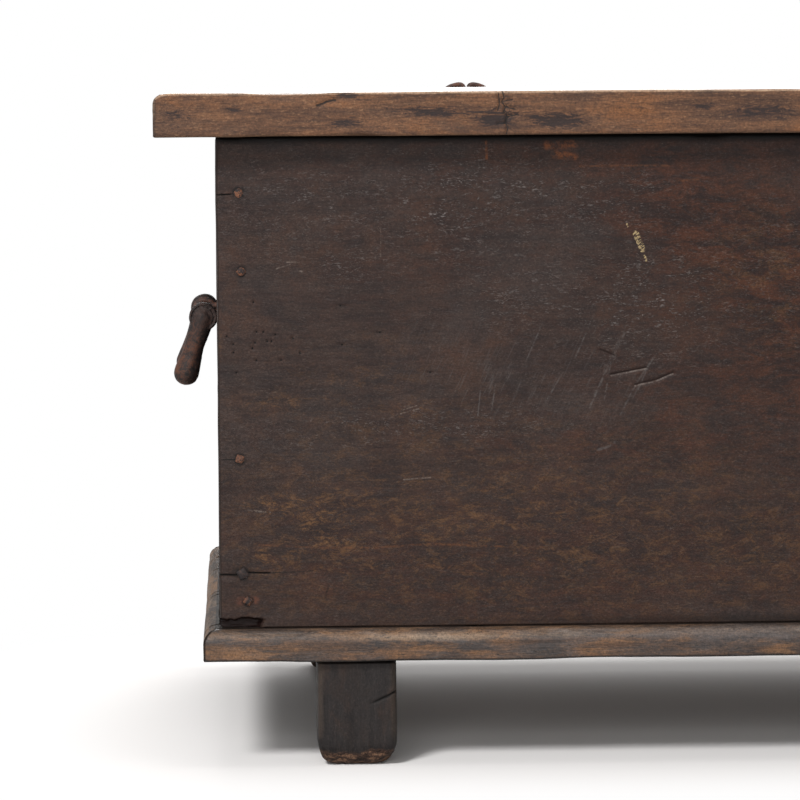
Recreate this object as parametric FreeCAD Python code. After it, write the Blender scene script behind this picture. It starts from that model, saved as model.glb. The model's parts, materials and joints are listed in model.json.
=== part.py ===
import FreeCAD, Part
import math
import os

# A six-plank wooden chest on a mitred base frame with four square feet. The lid swings on two
# loop hinges of linked iron cotters, and each end carries a forged bail handle in two eyebolts.
# Millimetres, +Z up, +X along the length, front at -Y. The origin is on the floor under the middle.

V = FreeCAD.Vector

# Box of planks: front and back run the full length, the ends stand between them
BOX_LENGTH = 1000.0
BOX_DEPTH = 475.0
BOX_HEIGHT = 364.0
FACE_THICK = 28.0
END_THICK = 32.0
BOTTOM_THICK = 20.0
PLANK_ROUND = 3.0
CHIP_LENGTH = 33.0
CHIP_HEIGHT = 7.5
CHIP_DEPTH = 7.0

# Base frame: four mitred rails with a rounded upper edge
RAIL_THICK = 24.0
RAIL_WIDTH = 90.0
RAIL_PROJECTION = 12.0
RAIL_ROUND = 11.0
RAIL_LOWER_ROUND = 1.5

# Feet: square blocks, worn round at the bottom, tenoned up into the long rails
FOOT_WIDTH = 59.0
FOOT_DEPTH = 56.0
FOOT_HEIGHT = 80.0
FOOT_END_INSET = 84.0
FOOT_FRONT_INSET = 6.5
FOOT_EDGE_ROUND = 6.0
FOOT_WEAR_IN = 12.5
FOOT_WEAR_UP = 18.0
FOOT_WEAR_STEPS = 6
TENON_SIDE = 30.0

# Lid with two battens under it
LID_THICK = 32.0
LID_END_OVERHANG = 45.0
LID_FACE_OVERHANG = 26.0
LID_CORNER_ROUND = 5.0
LID_TOP_ROUND = 4.0
LID_LOWER_ROUND = 2.0
BATTEN_X = 335.0
BATTEN_WIDTH = 44.0
BATTEN_THICK = 20.0
BATTEN_END_GAP = 14.0
BATTEN_ROUND = 3.0

# Forged nails: square tapered shank under a low four-sided rose head
NAIL_HEAD = 7.6
NAIL_HEAD_TOP = 3.2
NAIL_HEAD_HEIGHT = 1.5
NAIL_SHANK = 4.0
NAIL_POINT = 1.6
NAIL_TURN_STEP = 25.0
FACE_NAIL_LENGTH = 64.0
FACE_NAIL_HEIGHTS = (426.5, 368.5, 230.0, 144.5, 124.0)
FACE_NAIL_INSETS = (16.7, 18.0, 16.0, 17.5, 21.0)
RAIL_NAIL_LENGTH = 62.0
RAIL_NAIL_X = (-300.0, 0.0, 300.0)
RAIL_NAIL_Y = (-110.0, 110.0)
BOTTOM_NAIL_LENGTH = 41.0
BOTTOM_NAIL_X = (-280.0, 0.0, 280.0)
BOTTOM_NAIL_INSET = 24.0
BATTEN_NAIL_LENGTH = 43.0
BATTEN_NAIL_Y = (-150.0, 0.0, 150.0)

# Shared shape of a cotter: one wire bent to an eye, two legs side by side, ends clinched apart
LEG_GAP = 0.2
NECK_BEND = 3.0
CLINCH_BEND = 3.2
CLINCH_LIFT = 0.05
SLOT_PLAY = 0.2

# Loop hinges: a cotter through the lid linked in a cotter through the back plank
HINGE_X = 287.0
HINGE_WIRE = 4.5
HINGE_EYE = 6.25
HINGE_STANDOFF = 9.0
LID_CLINCH_REACH = 18.7
BACK_CLINCH_REACH = 12.5

# Bail handles, hanging in two eyebolts through each end plank
PIVOT_HEIGHT = 323.5
PIVOT_STANDOFF = 12.0
REST_TILT = 17.3
ARM_SPACING = 112.0
ARM_LENGTH = 46.0
ARM_TOP_RADIUS = 8.6
ARM_WAIST_RADIUS = 7.4
ARM_WAIST_AT = 0.55
BULB_RADIUS = 9.8
BOSS_RADIUS = 11.3
BOSS_WIDTH = 13.0
BOSS_ROUND = 2.5
BUTTON_RADIUS = 7.0
BUTTON_HEIGHT = 0.8
GRIP_END_RADIUS = 6.6
GRIP_MIDDLE_RADIUS = 8.2
STUB_RADIUS = 4.1
STUB_LENGTH = 15.0
EYEBOLT_WIRE = 5.0
EYEBOLT_EYE = 7.0
EYEBOLT_Y = 44.0
EYEBOLT_CLINCH_REACH = 19.0

# Heights, faces and centres that follow from the sizes above
BOX_FLOOR = FOOT_HEIGHT + RAIL_THICK
BOX_TOP = BOX_FLOOR + BOX_HEIGHT
BOTTOM_TOP = BOX_FLOOR + BOTTOM_THICK
LID_TOP = BOX_TOP + LID_THICK
HALF_LENGTH = BOX_LENGTH / 2
HALF_DEPTH = BOX_DEPTH / 2
INNER_HALF_LENGTH = HALF_LENGTH - END_THICK
INNER_HALF_DEPTH = HALF_DEPTH - FACE_THICK
RAIL_HALF_LENGTH = HALF_LENGTH + RAIL_PROJECTION
RAIL_HALF_DEPTH = HALF_DEPTH + RAIL_PROJECTION
LID_HALF_LENGTH = HALF_LENGTH + LID_END_OVERHANG
LID_HALF_DEPTH = HALF_DEPTH + LID_FACE_OVERHANG
BATTEN_HALF_LENGTH = INNER_HALF_DEPTH - BATTEN_END_GAP
HINGE_PIVOT_Y = HALF_DEPTH + HINGE_STANDOFF
HINGE_PIVOT_Z = BOX_TOP - HINGE_STANDOFF - HINGE_EYE
FOOT_X = RAIL_HALF_LENGTH - FOOT_END_INSET - FOOT_WIDTH / 2
FOOT_Y = RAIL_HALF_DEPTH - FOOT_FRONT_INSET - FOOT_DEPTH / 2
ARM_Y = ARM_SPACING / 2

UP = V(0, 0, 1)
DOWN = V(0, 0, -1)
ENDS = {"left": -1, "right": 1}
FACES = {"front": -1, "back": 1}
SAME = 0.01
FULL_TURN = 360.0
HALF_TURN = 180.0


def block(x_low, x_high, y_low, y_high, z_low, z_high):
    """Plain block between two opposite corners, given in either order."""
    corner = V(min(x_low, x_high), min(y_low, y_high), min(z_low, z_high))
    return Part.makeBox(abs(x_high - x_low), abs(y_high - y_low), abs(z_high - z_low), corner)


def ease(shape, radius, picked):
    """Round off the edges whose bounding box passes the test picked."""
    return shape.makeFillet(radius, [edge for edge in shape.Edges if picked(edge.BoundBox)])


def upright(bounds):
    """Test for a vertical edge."""
    return bounds.XLength < SAME and bounds.YLength < SAME


def level_at(height):
    """Test for an edge that lies flat at the given height."""
    return lambda bounds: abs(bounds.ZMin - height) < SAME and abs(bounds.ZMax - height) < SAME


def placed(shape, x_to, z_to, point):
    """Copy of a shape with its own X and Z turned to the given directions and its origin at point."""
    turn = FreeCAD.Rotation(x_to, z_to.cross(x_to), z_to, "ZXY")
    moved = shape.copy()
    moved.Placement = FreeCAD.Placement(point, turn).multiply(shape.Placement)
    return moved


def at_end(shape, side):
    """A shape made for the right end, turned half round the chest for the left end."""
    moved = shape.copy()
    if side < 0:
        moved.rotate(V(0, 0, 0), UP, HALF_TURN)
    return moved


# Nails

def square(side, height):
    """Square outline about the Z axis at the given height."""
    half = side / 2
    corners = [V(-half, -half, height), V(half, -half, height), V(half, half, height), V(-half, half, height)]
    return Part.makePolygon(corners + corners[:1])


def nail(length, turn):
    """Forged nail: head above the XY plane, tapered square shank below it."""
    shank = Part.makeLoft([square(NAIL_POINT, -length), square(NAIL_SHANK, 0)], True, True)
    head = Part.makeLoft([square(NAIL_HEAD, 0), square(NAIL_HEAD_TOP, NAIL_HEAD_HEIGHT)], True, True)
    whole = shank.fuse(head)
    whole.rotate(V(0, 0, 0), UP, turn)
    return whole


def nail_group(points, outward, length):
    """Nails at the given points, with their heads turned to face outward."""
    across = V(0, 0, 1) if abs(outward.z) < SAME else V(1, 0, 0)
    nails = []
    for count, point in enumerate(points):
        nails.append(placed(nail(length, count * NAIL_TURN_STEP), across, outward, point))
    return Part.makeCompound(nails)


def face_nails(face):
    """Nails through the front or back plank into the edges of both end planks."""
    row = list(zip(FACE_NAIL_INSETS, FACE_NAIL_HEIGHTS))
    points = [V(end * (HALF_LENGTH - inset), face * HALF_DEPTH, z)
              for end in ENDS.values() for inset, z in row]
    return nail_group(points, V(0, face, 0), FACE_NAIL_LENGTH)


def rail_nails():
    """Nails up through the base rails into the lower edges of the four planks that stand on them."""
    face_row = HALF_DEPTH - FACE_THICK / 2
    end_row = HALF_LENGTH - END_THICK / 2
    points = [V(x, face * face_row, FOOT_HEIGHT) for face in FACES.values() for x in RAIL_NAIL_X]
    points += [V(end * end_row, y, FOOT_HEIGHT) for end in ENDS.values() for y in RAIL_NAIL_Y]
    return nail_group(points, DOWN, RAIL_NAIL_LENGTH)


def bottom_nails():
    """Nails down through the bottom plank into the long rails."""
    row = INNER_HALF_DEPTH - BOTTOM_NAIL_INSET
    points = [V(x, face * row, BOTTOM_TOP) for face in FACES.values() for x in BOTTOM_NAIL_X]
    return nail_group(points, UP, BOTTOM_NAIL_LENGTH)


def batten_nails():
    """Nails up through both battens into the lid."""
    points = [V(end * BATTEN_X, y, BOX_TOP - BATTEN_THICK) for end in ENDS.values() for y in BATTEN_NAIL_Y]
    return nail_group(points, DOWN, BATTEN_NAIL_LENGTH)


# Cotters for the hinges and eyebolts

def half_cotter(wire, eye, grip, reach, side):
    """Edges of half a cotter's centre line, from the foot of its eye at -Z to one clinched tip."""
    leg = (wire + LEG_GAP) / 2
    swing = eye + NECK_BEND
    neck_x = leg + NECK_BEND
    neck_z = math.sqrt(swing ** 2 - neck_x ** 2)
    neck_angle = math.atan2(neck_z, neck_x)
    tip_z = grip + wire / 2 + CLINCH_LIFT
    bend_x = leg + CLINCH_BEND
    bend_z = tip_z - CLINCH_BEND

    def on_arc(centre_x, centre_z, radius, angle):
        return V(side * (centre_x + radius * math.cos(angle)), 0, centre_z + radius * math.sin(angle))

    eye_foot = on_arc(0, 0, eye, -math.pi / 2)
    eye_side = on_arc(0, 0, eye, (neck_angle - math.pi / 2) / 2)
    eye_end = on_arc(0, 0, eye, neck_angle)
    neck_side = on_arc(neck_x, neck_z, NECK_BEND, math.pi + neck_angle / 2)
    neck_end = V(side * leg, 0, neck_z)
    leg_end = V(side * leg, 0, bend_z)
    bend_side = on_arc(bend_x, bend_z, CLINCH_BEND, 3 * math.pi / 4)
    bend_end = V(side * bend_x, 0, tip_z)
    tip = V(side * reach, 0, tip_z)
    curves = [Part.Arc(eye_foot, eye_side, eye_end), Part.Arc(eye_end, neck_side, neck_end)]
    curves += [Part.LineSegment(neck_end, leg_end), Part.Arc(leg_end, bend_side, bend_end)]
    curves += [Part.LineSegment(bend_end, tip)]
    return [curve.toShape() for curve in curves]


def cotter(wire, eye, grip, reach):
    """Bent iron wire: eye round the origin, legs up Z through a grip thickness, tips spread along X."""
    edges = half_cotter(wire, eye, grip, reach, -1) + half_cotter(wire, eye, grip, reach, 1)
    path = Part.Wire(Part.__sortEdges__(edges))
    start = path.OrderedVertexes[0].Point
    section = Part.Wire(Part.Circle(start, V(1, 0, 0), wire / 2).toShape())
    bent = path.makePipeShell([section], True, False)
    print("cotter volume over section times length", bent.Volume / (math.pi * wire ** 2 / 4 * path.Length))
    return bent


def slot_half_sizes(wire):
    """Half width and half length of the slot that a cotter's legs pass through."""
    return wire / 2 + SLOT_PLAY, (wire + LEG_GAP) / 2 + CLINCH_BEND + CLINCH_LIFT


def lid_cotter(side):
    """Hinge half in the lid, its eye hanging below the lid behind the box."""
    bent = cotter(HINGE_WIRE, HINGE_EYE, HINGE_STANDOFF + LID_THICK, LID_CLINCH_REACH)
    return placed(bent, V(1, 0, 0), UP, V(side * HINGE_X, HINGE_PIVOT_Y, BOX_TOP - HINGE_STANDOFF))


def back_cotter(side):
    """Hinge half in the back plank, its eye centred on the hinge line."""
    bent = cotter(HINGE_WIRE, HINGE_EYE, HINGE_STANDOFF + FACE_THICK, BACK_CLINCH_REACH)
    return placed(bent, UP, V(0, -1, 0), V(side * HINGE_X, HINGE_PIVOT_Y, HINGE_PIVOT_Z))


def eyebolt(end, face):
    """Eyebolt through an end plank, its eye centred on the handle's pivot."""
    bent = cotter(EYEBOLT_WIRE, EYEBOLT_EYE, PIVOT_STANDOFF + END_THICK, EYEBOLT_CLINCH_REACH)
    centre = V(HALF_LENGTH + PIVOT_STANDOFF, face * end * EYEBOLT_Y, PIVOT_HEIGHT)
    return at_end(placed(bent, UP, V(-1, 0, 0), centre), end)


# Planks

def face_plank(face):
    """Front or back plank with eased outer edges, drilled for its nails and for the rail nails."""
    outer = face * HALF_DEPTH
    inner = face * INNER_HALF_DEPTH
    plank = block(-HALF_LENGTH, HALF_LENGTH, outer, inner, BOX_FLOOR, BOX_TOP)
    plank = ease(plank, PLANK_ROUND, lambda b: abs(b.Center.y - outer) < SAME and b.ZMax > BOX_FLOOR + SAME)
    return plank.cut(face_nails(face)).cut(rail_nails())


def front_plank():
    """Front plank, with a chip broken out of its lower left corner."""
    chip_end = CHIP_LENGTH - HALF_LENGTH
    chip_back = CHIP_DEPTH - HALF_DEPTH
    chip = block(-HALF_LENGTH, chip_end, -HALF_DEPTH, chip_back, BOX_FLOOR, BOX_FLOOR + CHIP_HEIGHT)
    return face_plank(FACES["front"]).cut(chip)


def back_plank():
    """Back plank, slotted for the two hinge cotters."""
    plank = face_plank(FACES["back"])
    half_x, half_z = slot_half_sizes(HINGE_WIRE)
    for side in ENDS.values():
        x = side * HINGE_X
        low, high = HINGE_PIVOT_Z - half_z, HINGE_PIVOT_Z + half_z
        plank = plank.cut(block(x - half_x, x + half_x, INNER_HALF_DEPTH, HALF_DEPTH, low, high))
    return plank


def end_plank(end):
    """End plank between the front and back planks, slotted for its two eyebolts."""
    inner = end * INNER_HALF_LENGTH
    outer = end * HALF_LENGTH
    plank = block(inner, outer, -INNER_HALF_DEPTH, INNER_HALF_DEPTH, BOX_FLOOR, BOX_TOP)
    half_y, half_z = slot_half_sizes(EYEBOLT_WIRE)
    low, high = PIVOT_HEIGHT - half_z, PIVOT_HEIGHT + half_z
    for face in FACES.values():
        y = face * EYEBOLT_Y
        plank = plank.cut(block(inner, outer, y - half_y, y + half_y, low, high))
        plank = plank.cut(face_nails(face))
    return plank.cut(rail_nails())


def bottom_plank():
    """Bottom plank lying on the rails inside the box."""
    half_x, half_y = INNER_HALF_LENGTH, INNER_HALF_DEPTH
    return block(-half_x, half_x, -half_y, half_y, BOX_FLOOR, BOTTOM_TOP).cut(bottom_nails())


# Lid

def lid_plank():
    """Lid board with rounded corners and edges, slotted for the two hinge cotters."""
    lid = block(-LID_HALF_LENGTH, LID_HALF_LENGTH, -LID_HALF_DEPTH, LID_HALF_DEPTH, BOX_TOP, LID_TOP)
    lid = ease(lid, LID_CORNER_ROUND, upright)
    lid = ease(lid, LID_TOP_ROUND, level_at(LID_TOP))
    lid = ease(lid, LID_LOWER_ROUND, level_at(BOX_TOP))
    half_y, half_x = slot_half_sizes(HINGE_WIRE)
    low, high = HINGE_PIVOT_Y - half_y, HINGE_PIVOT_Y + half_y
    for side in ENDS.values():
        x = side * HINGE_X
        lid = lid.cut(block(x - half_x, x + half_x, low, high, BOX_TOP, LID_TOP))
    return lid.cut(batten_nails())


def lid_batten(side):
    """Batten across the underside of the lid, clear of the planks as the lid swings."""
    low_x = side * BATTEN_X - BATTEN_WIDTH / 2
    low_z = BOX_TOP - BATTEN_THICK
    half = BATTEN_HALF_LENGTH
    batten = block(low_x, low_x + BATTEN_WIDTH, -half, half, low_z, BOX_TOP)
    return ease(batten, BATTEN_ROUND, level_at(low_z)).cut(batten_nails())


# Base frame and feet

def base_frame():
    """The four rails as one rectangular ring, rounded on its outer edges."""
    long_half, deep_half = RAIL_HALF_LENGTH, RAIL_HALF_DEPTH
    ring = block(-long_half, long_half, -deep_half, deep_half, FOOT_HEIGHT, BOX_FLOOR)
    ring = ease(ring, RAIL_ROUND, level_at(BOX_FLOOR))
    ring = ease(ring, RAIL_LOWER_ROUND, level_at(FOOT_HEIGHT))
    long_half, deep_half = long_half - RAIL_WIDTH, deep_half - RAIL_WIDTH
    return ring.cut(block(-long_half, long_half, -deep_half, deep_half, FOOT_HEIGHT, BOX_FLOOR))


def mitred(corners):
    """The part of the base frame over a four-cornered plan outline."""
    outline = [V(x, y, FOOT_HEIGHT) for x, y in corners]
    plan = Part.Face(Part.makePolygon(outline + outline[:1]))
    return base_frame().common(plan.extrude(V(0, 0, RAIL_THICK)))


def long_rail(face):
    """Front or back rail, mitred at both ends, mortised for two feet and drilled for its nails."""
    outer, inner = face * RAIL_HALF_DEPTH, face * (RAIL_HALF_DEPTH - RAIL_WIDTH)
    far, near = RAIL_HALF_LENGTH, RAIL_HALF_LENGTH - RAIL_WIDTH
    rail = mitred([(-far, outer), (far, outer), (near, inner), (-near, inner)])
    for end in ENDS.values():
        rail = rail.cut(tenon(end, face))
    return rail.cut(rail_nails()).cut(bottom_nails())


def end_rail(end):
    """Left or right rail, mitred at both ends and drilled for its nails."""
    outer, inner = end * RAIL_HALF_LENGTH, end * (RAIL_HALF_LENGTH - RAIL_WIDTH)
    far, near = RAIL_HALF_DEPTH, RAIL_HALF_DEPTH - RAIL_WIDTH
    return mitred([(outer, -far), (outer, far), (inner, near), (inner, -near)]).cut(rail_nails())


def tenon(end, face):
    """Square tenon on top of a foot, as tall as the rail is thick."""
    x, y, half = end * FOOT_X, face * FOOT_Y, TENON_SIDE / 2
    return block(x - half, x + half, y - half, y + half, FOOT_HEIGHT, BOX_FLOOR)


def foot_outline(inset, height):
    """Round-cornered rectangle about the Z axis, drawn in from the foot's faces by inset."""
    x, y, r = FOOT_WIDTH / 2 - inset, FOOT_DEPTH / 2 - inset, FOOT_EDGE_ROUND
    slab = Part.makeBox(2 * x, 2 * y, RAIL_THICK, V(-x, -y, height))
    slab = ease(slab, r, upright)
    lower = [edge for edge in slab.Edges if level_at(height)(edge.BoundBox)]
    return Part.Wire(Part.__sortEdges__(lower))


def foot(end, face):
    """Square foot: straight sides above, a worn quarter-ellipse below, and its tenon on top."""
    outlines = []
    for step in range(FOOT_WEAR_STEPS + 1):
        angle = math.pi / 2 * step / FOOT_WEAR_STEPS
        inset = FOOT_WEAR_IN * (1 - math.sin(angle))
        outlines.append(foot_outline(inset, FOOT_WEAR_UP * (1 - math.cos(angle))))
    outlines.append(foot_outline(0, FOOT_HEIGHT))
    leg = Part.makeLoft(outlines, True, True)
    leg.translate(V(end * FOOT_X, face * FOOT_Y, 0))
    return leg.fuse(tenon(end, face)).removeSplitter()


# Bail handles

def bail_arm(face):
    """Turned arm hanging from the pivot: thick at the top, a thin waist and a round bulb below."""
    bulb_z = -ARM_LENGTH
    side = Part.BSplineCurve()
    waist = V(ARM_WAIST_RADIUS, 0, bulb_z * ARM_WAIST_AT)
    points = [V(ARM_TOP_RADIUS, 0, 0), waist, V(BULB_RADIUS, 0, bulb_z)]
    side.interpolate(Points=points, InitialTangent=DOWN, FinalTangent=DOWN)
    slant = BULB_RADIUS * math.sqrt(0.5)
    tip = V(0, 0, bulb_z - BULB_RADIUS)
    bulb = Part.Arc(points[-1], V(slant, 0, bulb_z - slant), tip)
    outline = [side.toShape(), bulb.toShape()]
    outline += [Part.makeLine(tip, V(0, 0, 0)), Part.makeLine(V(0, 0, 0), points[0])]
    arm = Part.Face(Part.Wire(outline)).revolve(V(0, 0, 0), UP, FULL_TURN)
    arm.translate(V(0, face * ARM_Y, 0))
    return arm


def bail_boss(face):
    """Round boss at the top of an arm, with a raised button outside and the pivot stub inside."""
    outward = V(0, face, 0)
    middle = V(0, face * ARM_Y, 0)
    boss = Part.makeCylinder(BOSS_RADIUS, BOSS_WIDTH, middle - outward * (BOSS_WIDTH / 2), outward)
    boss = boss.makeFillet(BOSS_ROUND, [edge for edge in boss.Edges if edge.BoundBox.YLength < SAME])
    button = Part.makeCylinder(BUTTON_RADIUS, BOSS_WIDTH / 2 + BUTTON_HEIGHT, middle, outward)
    stub = Part.makeCylinder(STUB_RADIUS, BOSS_WIDTH / 2 + STUB_LENGTH, middle, -outward)
    return boss.fuse([button, stub])


def bail_grip():
    """Hand grip between the bulbs, swelling to its middle."""
    z = -ARM_LENGTH
    start, finish = V(GRIP_END_RADIUS, -ARM_Y, z), V(GRIP_END_RADIUS, ARM_Y, z)
    swell = Part.Arc(start, V(GRIP_MIDDLE_RADIUS, 0, z), finish).toShape()
    lines = [(finish, V(0, ARM_Y, z)), (V(0, ARM_Y, z), V(0, -ARM_Y, z)), (V(0, -ARM_Y, z), start)]
    outline = Part.Wire([swell] + [Part.makeLine(*ends) for ends in lines])
    return Part.Face(outline).revolve(V(0, 0, z), V(0, 1, 0), FULL_TURN)


def bail(end):
    """One forged handle: two arms, their bosses and stubs, and the grip, tilted outward at rest."""
    handle = bail_grip()
    for face in FACES.values():
        handle = handle.fuse([bail_arm(face), bail_boss(face)])
    handle = handle.removeSplitter()
    handle.rotate(V(0, 0, 0), V(0, 1, 0), -REST_TILT)
    handle.translate(V(HALF_LENGTH + PIVOT_STANDOFF, 0, PIVOT_HEIGHT))
    return at_end(handle, end)


# Every piece of the chest by its name

nodes = {
    "front_plank": front_plank(),
    "back_plank": back_plank(),
    "bottom_plank": bottom_plank(),
    "lid_plank": lid_plank(),
    "rail_nails": rail_nails(),
    "bottom_nails": bottom_nails(),
    "batten_nails": batten_nails(),
}
for face_name, face in FACES.items():
    nodes[f"{face_name}_nails"] = face_nails(face)
    nodes[f"base_rail_{face_name}"] = long_rail(face)
for end_name, end in ENDS.items():
    nodes[f"{end_name}_end_plank"] = end_plank(end)
    nodes[f"base_rail_{end_name}"] = end_rail(end)
    nodes[f"lid_batten_{end_name}"] = lid_batten(end)
    nodes[f"hinge_{end_name}_lid_cotter"] = lid_cotter(end)
    nodes[f"hinge_{end_name}_back_cotter"] = back_cotter(end)
    nodes[f"handle_{end_name}_bail"] = bail(end)
    for face_name, face in FACES.items():
        nodes[f"foot_{face_name}_{end_name}"] = foot(end, face)
        nodes[f"handle_{end_name}_{face_name}_eyebolt"] = eyebolt(end, face)

os.makedirs("parts", exist_ok=True)
for name, shape in nodes.items():
    shape.exportStep(f"parts/{name}.step")
    print(name, "solids", len(shape.Solids), "valid", shape.isValid(), "volume", round(shape.Volume))
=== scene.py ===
import json
import math

import bpy
import numpy as np
from mathutils import Matrix, Vector


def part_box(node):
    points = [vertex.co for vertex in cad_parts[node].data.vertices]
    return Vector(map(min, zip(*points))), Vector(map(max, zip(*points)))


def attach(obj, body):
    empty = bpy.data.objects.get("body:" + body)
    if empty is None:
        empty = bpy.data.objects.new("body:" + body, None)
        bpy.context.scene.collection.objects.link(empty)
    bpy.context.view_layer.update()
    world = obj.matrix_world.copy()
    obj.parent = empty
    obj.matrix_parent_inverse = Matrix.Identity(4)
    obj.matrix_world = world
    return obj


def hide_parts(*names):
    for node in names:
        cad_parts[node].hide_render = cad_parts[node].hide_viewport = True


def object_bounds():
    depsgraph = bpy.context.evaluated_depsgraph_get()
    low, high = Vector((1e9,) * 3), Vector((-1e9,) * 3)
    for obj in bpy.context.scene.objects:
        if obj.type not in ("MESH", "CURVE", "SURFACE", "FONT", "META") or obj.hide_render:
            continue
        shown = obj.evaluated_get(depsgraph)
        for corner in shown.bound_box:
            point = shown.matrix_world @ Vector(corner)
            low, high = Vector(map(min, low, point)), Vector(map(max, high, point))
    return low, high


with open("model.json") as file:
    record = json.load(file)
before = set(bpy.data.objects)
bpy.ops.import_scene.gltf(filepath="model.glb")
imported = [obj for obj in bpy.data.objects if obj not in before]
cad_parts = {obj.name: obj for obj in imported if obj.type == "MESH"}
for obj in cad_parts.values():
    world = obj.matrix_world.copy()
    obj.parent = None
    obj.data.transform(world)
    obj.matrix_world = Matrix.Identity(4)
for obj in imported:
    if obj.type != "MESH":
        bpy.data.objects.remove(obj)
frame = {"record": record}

cad_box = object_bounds()

# Base rails
# Four lengths of brown wood under the box, mitred at the corners and rounded along the upper outer edge.
# Hands and feet have rubbed the rounding pale, dirt has greyed the rest, and nails come up through them.
# A grey sheen and a pale highlight are painted along the rounding, and painted shade darkens the rails
# underneath and along their tops under the plank.

RAIL_TURNS = {"front": 0, "right": math.pi / 2, "back": math.pi, "left": -math.pi / 2}
RAIL_ROUND = 0.011
RAIL_LOWER_ROUND = 0.0015
RAIL_INNER_ROUND = 0.0006
RAIL_STEP = 0.0025
SHORT_RAIL_STEP = 0.0012
RAIL_FACE_STEP = 0.0011
RAIL_HIDDEN_STEP = 0.012
RAIL_UNDER_SEEN = 0.02
RAIL_TOP_SEEN = 0.016
ARC_STEP = 0.0011
RAIL_WAVE = 0.0005
RAIL_DENT = 0.0014
RAIL_SCAR = 0.00035
RAIL_EDGE_WAVE = 0.0007
RAIL_SPLITS = (-0.219, -0.059, -0.041, 0.095, 0.172)
RAIL_SPLIT_WIDTH = 0.0013
RAIL_SPLIT_DEPTH = 0.0015
RAIL_SPLIT_SLANT = 0.35
RAIL_SPLIT_WANDER = 0.0015
MITRE_GAP = 0.0016
# Zones of the front rail, each (X, Z, half width, half height, amount)
RAIL_AMBER = (
    (-0.485, 0.086, 0.032, 0.008, 1.0), (-0.355, 0.088, 0.025, 0.008, 0.8),
    (-0.300, 0.097, 0.030, 0.006, 0.9), (-0.217, 0.085, 0.024, 0.008, 1.0),
    (-0.090, 0.084, 0.018, 0.006, 1.0), (0.08, 0.086, 0.03, 0.008, 0.9), (0.25, 0.088, 0.04, 0.007, 0.8),
    (0.40, 0.085, 0.03, 0.008, 1.0))
# Grey sheen painted along the rounding
RAIL_PAINTED_SHEEN = (
    (-0.13, 0.098, 0.08, 0.006, 1.2), (-0.255, 0.098, 0.02, 0.005, 1.0), (0.15, 0.098, 0.08, 0.006, 1.0),
    (0.42, 0.098, 0.05, 0.006, 1.0))
# Pale highlight painted along the rounding
RAIL_PAINTED_HIGHLIGHT = (
    (-0.342, 0.0975, 0.08, 0.0045, 0.75), (-0.24, 0.0985, 0.03, 0.004, 0.4),
    (0.05, 0.0975, 0.06, 0.0045, 0.7), (0.30, 0.0975, 0.08, 0.0045, 0.7))
RAIL_DIRT = (
    (-0.140, 0.095, 0.03, 0.012, 0.5), (-0.365, 0.092, 0.03, 0.0025, 0.9), (-0.455, 0.0925, 0.03, 0.002, 0.9),
    (-0.395, 0.094, 0.022, 0.004, 1.0), (-0.310, 0.089, 0.030, 0.003, 1.1),
    (-0.255, 0.088, 0.014, 0.009, 1.0), (-0.150, 0.086, 0.040, 0.007, 0.9), (-0.03, 0.090, 0.03, 0.006, 1.0),
    (0.16, 0.092, 0.03, 0.005, 1.0), (0.33, 0.088, 0.03, 0.008, 0.9), (0.47, 0.090, 0.02, 0.006, 1.0))


def stations(low, high, step, *windows):
    """Places from low to high about a step apart, and closer inside each (from, to, step) window: equal
    shares of the running total of the wanted density."""
    fine = np.linspace(low, high, 8000)
    density = np.full(fine.size, 1 / step)
    for start, stop, close in windows:
        inside = (fine >= start) & (fine <= stop)
        density[inside] = np.maximum(density[inside], 1 / close)
    total = np.concatenate([[0], np.cumsum((density[1:] + density[:-1]) / 2 * np.diff(fine))])
    return np.interp(np.linspace(0, total[-1], max(2, round(total[-1]) + 1)), total, fine)


def board_section(low, high, rounds, spacing):
    """Outline of a board's section, anticlockwise from its lower left corner: stations along the bottom,
    right, top and left side in turn, with a quarter circle round each corner between them."""
    (left, bottom), (right, top) = low, high
    lower_left, lower_right, upper_right, upper_left = rounds
    floor = stations(left + lower_left, right - lower_right, *spacing[0])
    far = stations(bottom + lower_right, top - upper_right, *spacing[1])
    roof = stations(left + upper_left, right - upper_right, *spacing[2])[::-1]
    near = stations(bottom + lower_left, top - upper_left, *spacing[3])[::-1]

    def corner(across, level, radius, start):
        count = max(1, round(radius * np.pi / 2 / ARC_STEP))
        angle = start + np.linspace(0, np.pi / 2, count + 2)[1:-1]
        return np.stack([across + radius * np.cos(angle), level + radius * np.sin(angle)], -1)

    return np.concatenate([
        np.stack([floor, np.full(floor.size, bottom)], -1),
        corner(right - lower_right, bottom + lower_right, lower_right, -np.pi / 2),
        np.stack([np.full(far.size, right), far], -1),
        corner(right - upper_right, top - upper_right, upper_right, 0),
        np.stack([roof, np.full(roof.size, top)], -1),
        corner(left + upper_left, top - upper_left, upper_left, np.pi / 2),
        np.stack([np.full(near.size, left), near], -1),
        corner(left + lower_left, bottom + lower_left, lower_left, np.pi)])


def skin(rings):
    """Closed skin over a stack of closed rings: four-sided faces between neighbours and a fan of triangles
    over each end, turned so that the volume that they enclose is positive."""
    count, around = rings.shape[:2]
    points = np.concatenate([rings.reshape(-1, 3), rings[[0, -1]].mean(1)])
    here = np.arange(around)
    after = np.roll(here, -1)
    base = np.arange(count - 1)[:, None] * around
    quads = np.stack([base + here, base + after, base + around + after, base + around + here], -1)
    quads = quads.reshape(-1, 4)
    last = (count - 1) * around
    pole = np.full(around, count * around)
    fans = np.concatenate([np.stack([after, here, pole], -1),
                           np.stack([last + here, last + after, pole + 1], -1)])
    thirds = np.concatenate([quads[:, [0, 1, 2]], quads[:, [0, 2, 3]], fans])
    first, second, third = points[thirds.T]
    if np.sum(first * np.cross(second, third)) < 0:
        quads, fans = quads[:, ::-1], fans[:, ::-1]
    return points, quads, fans


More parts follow.
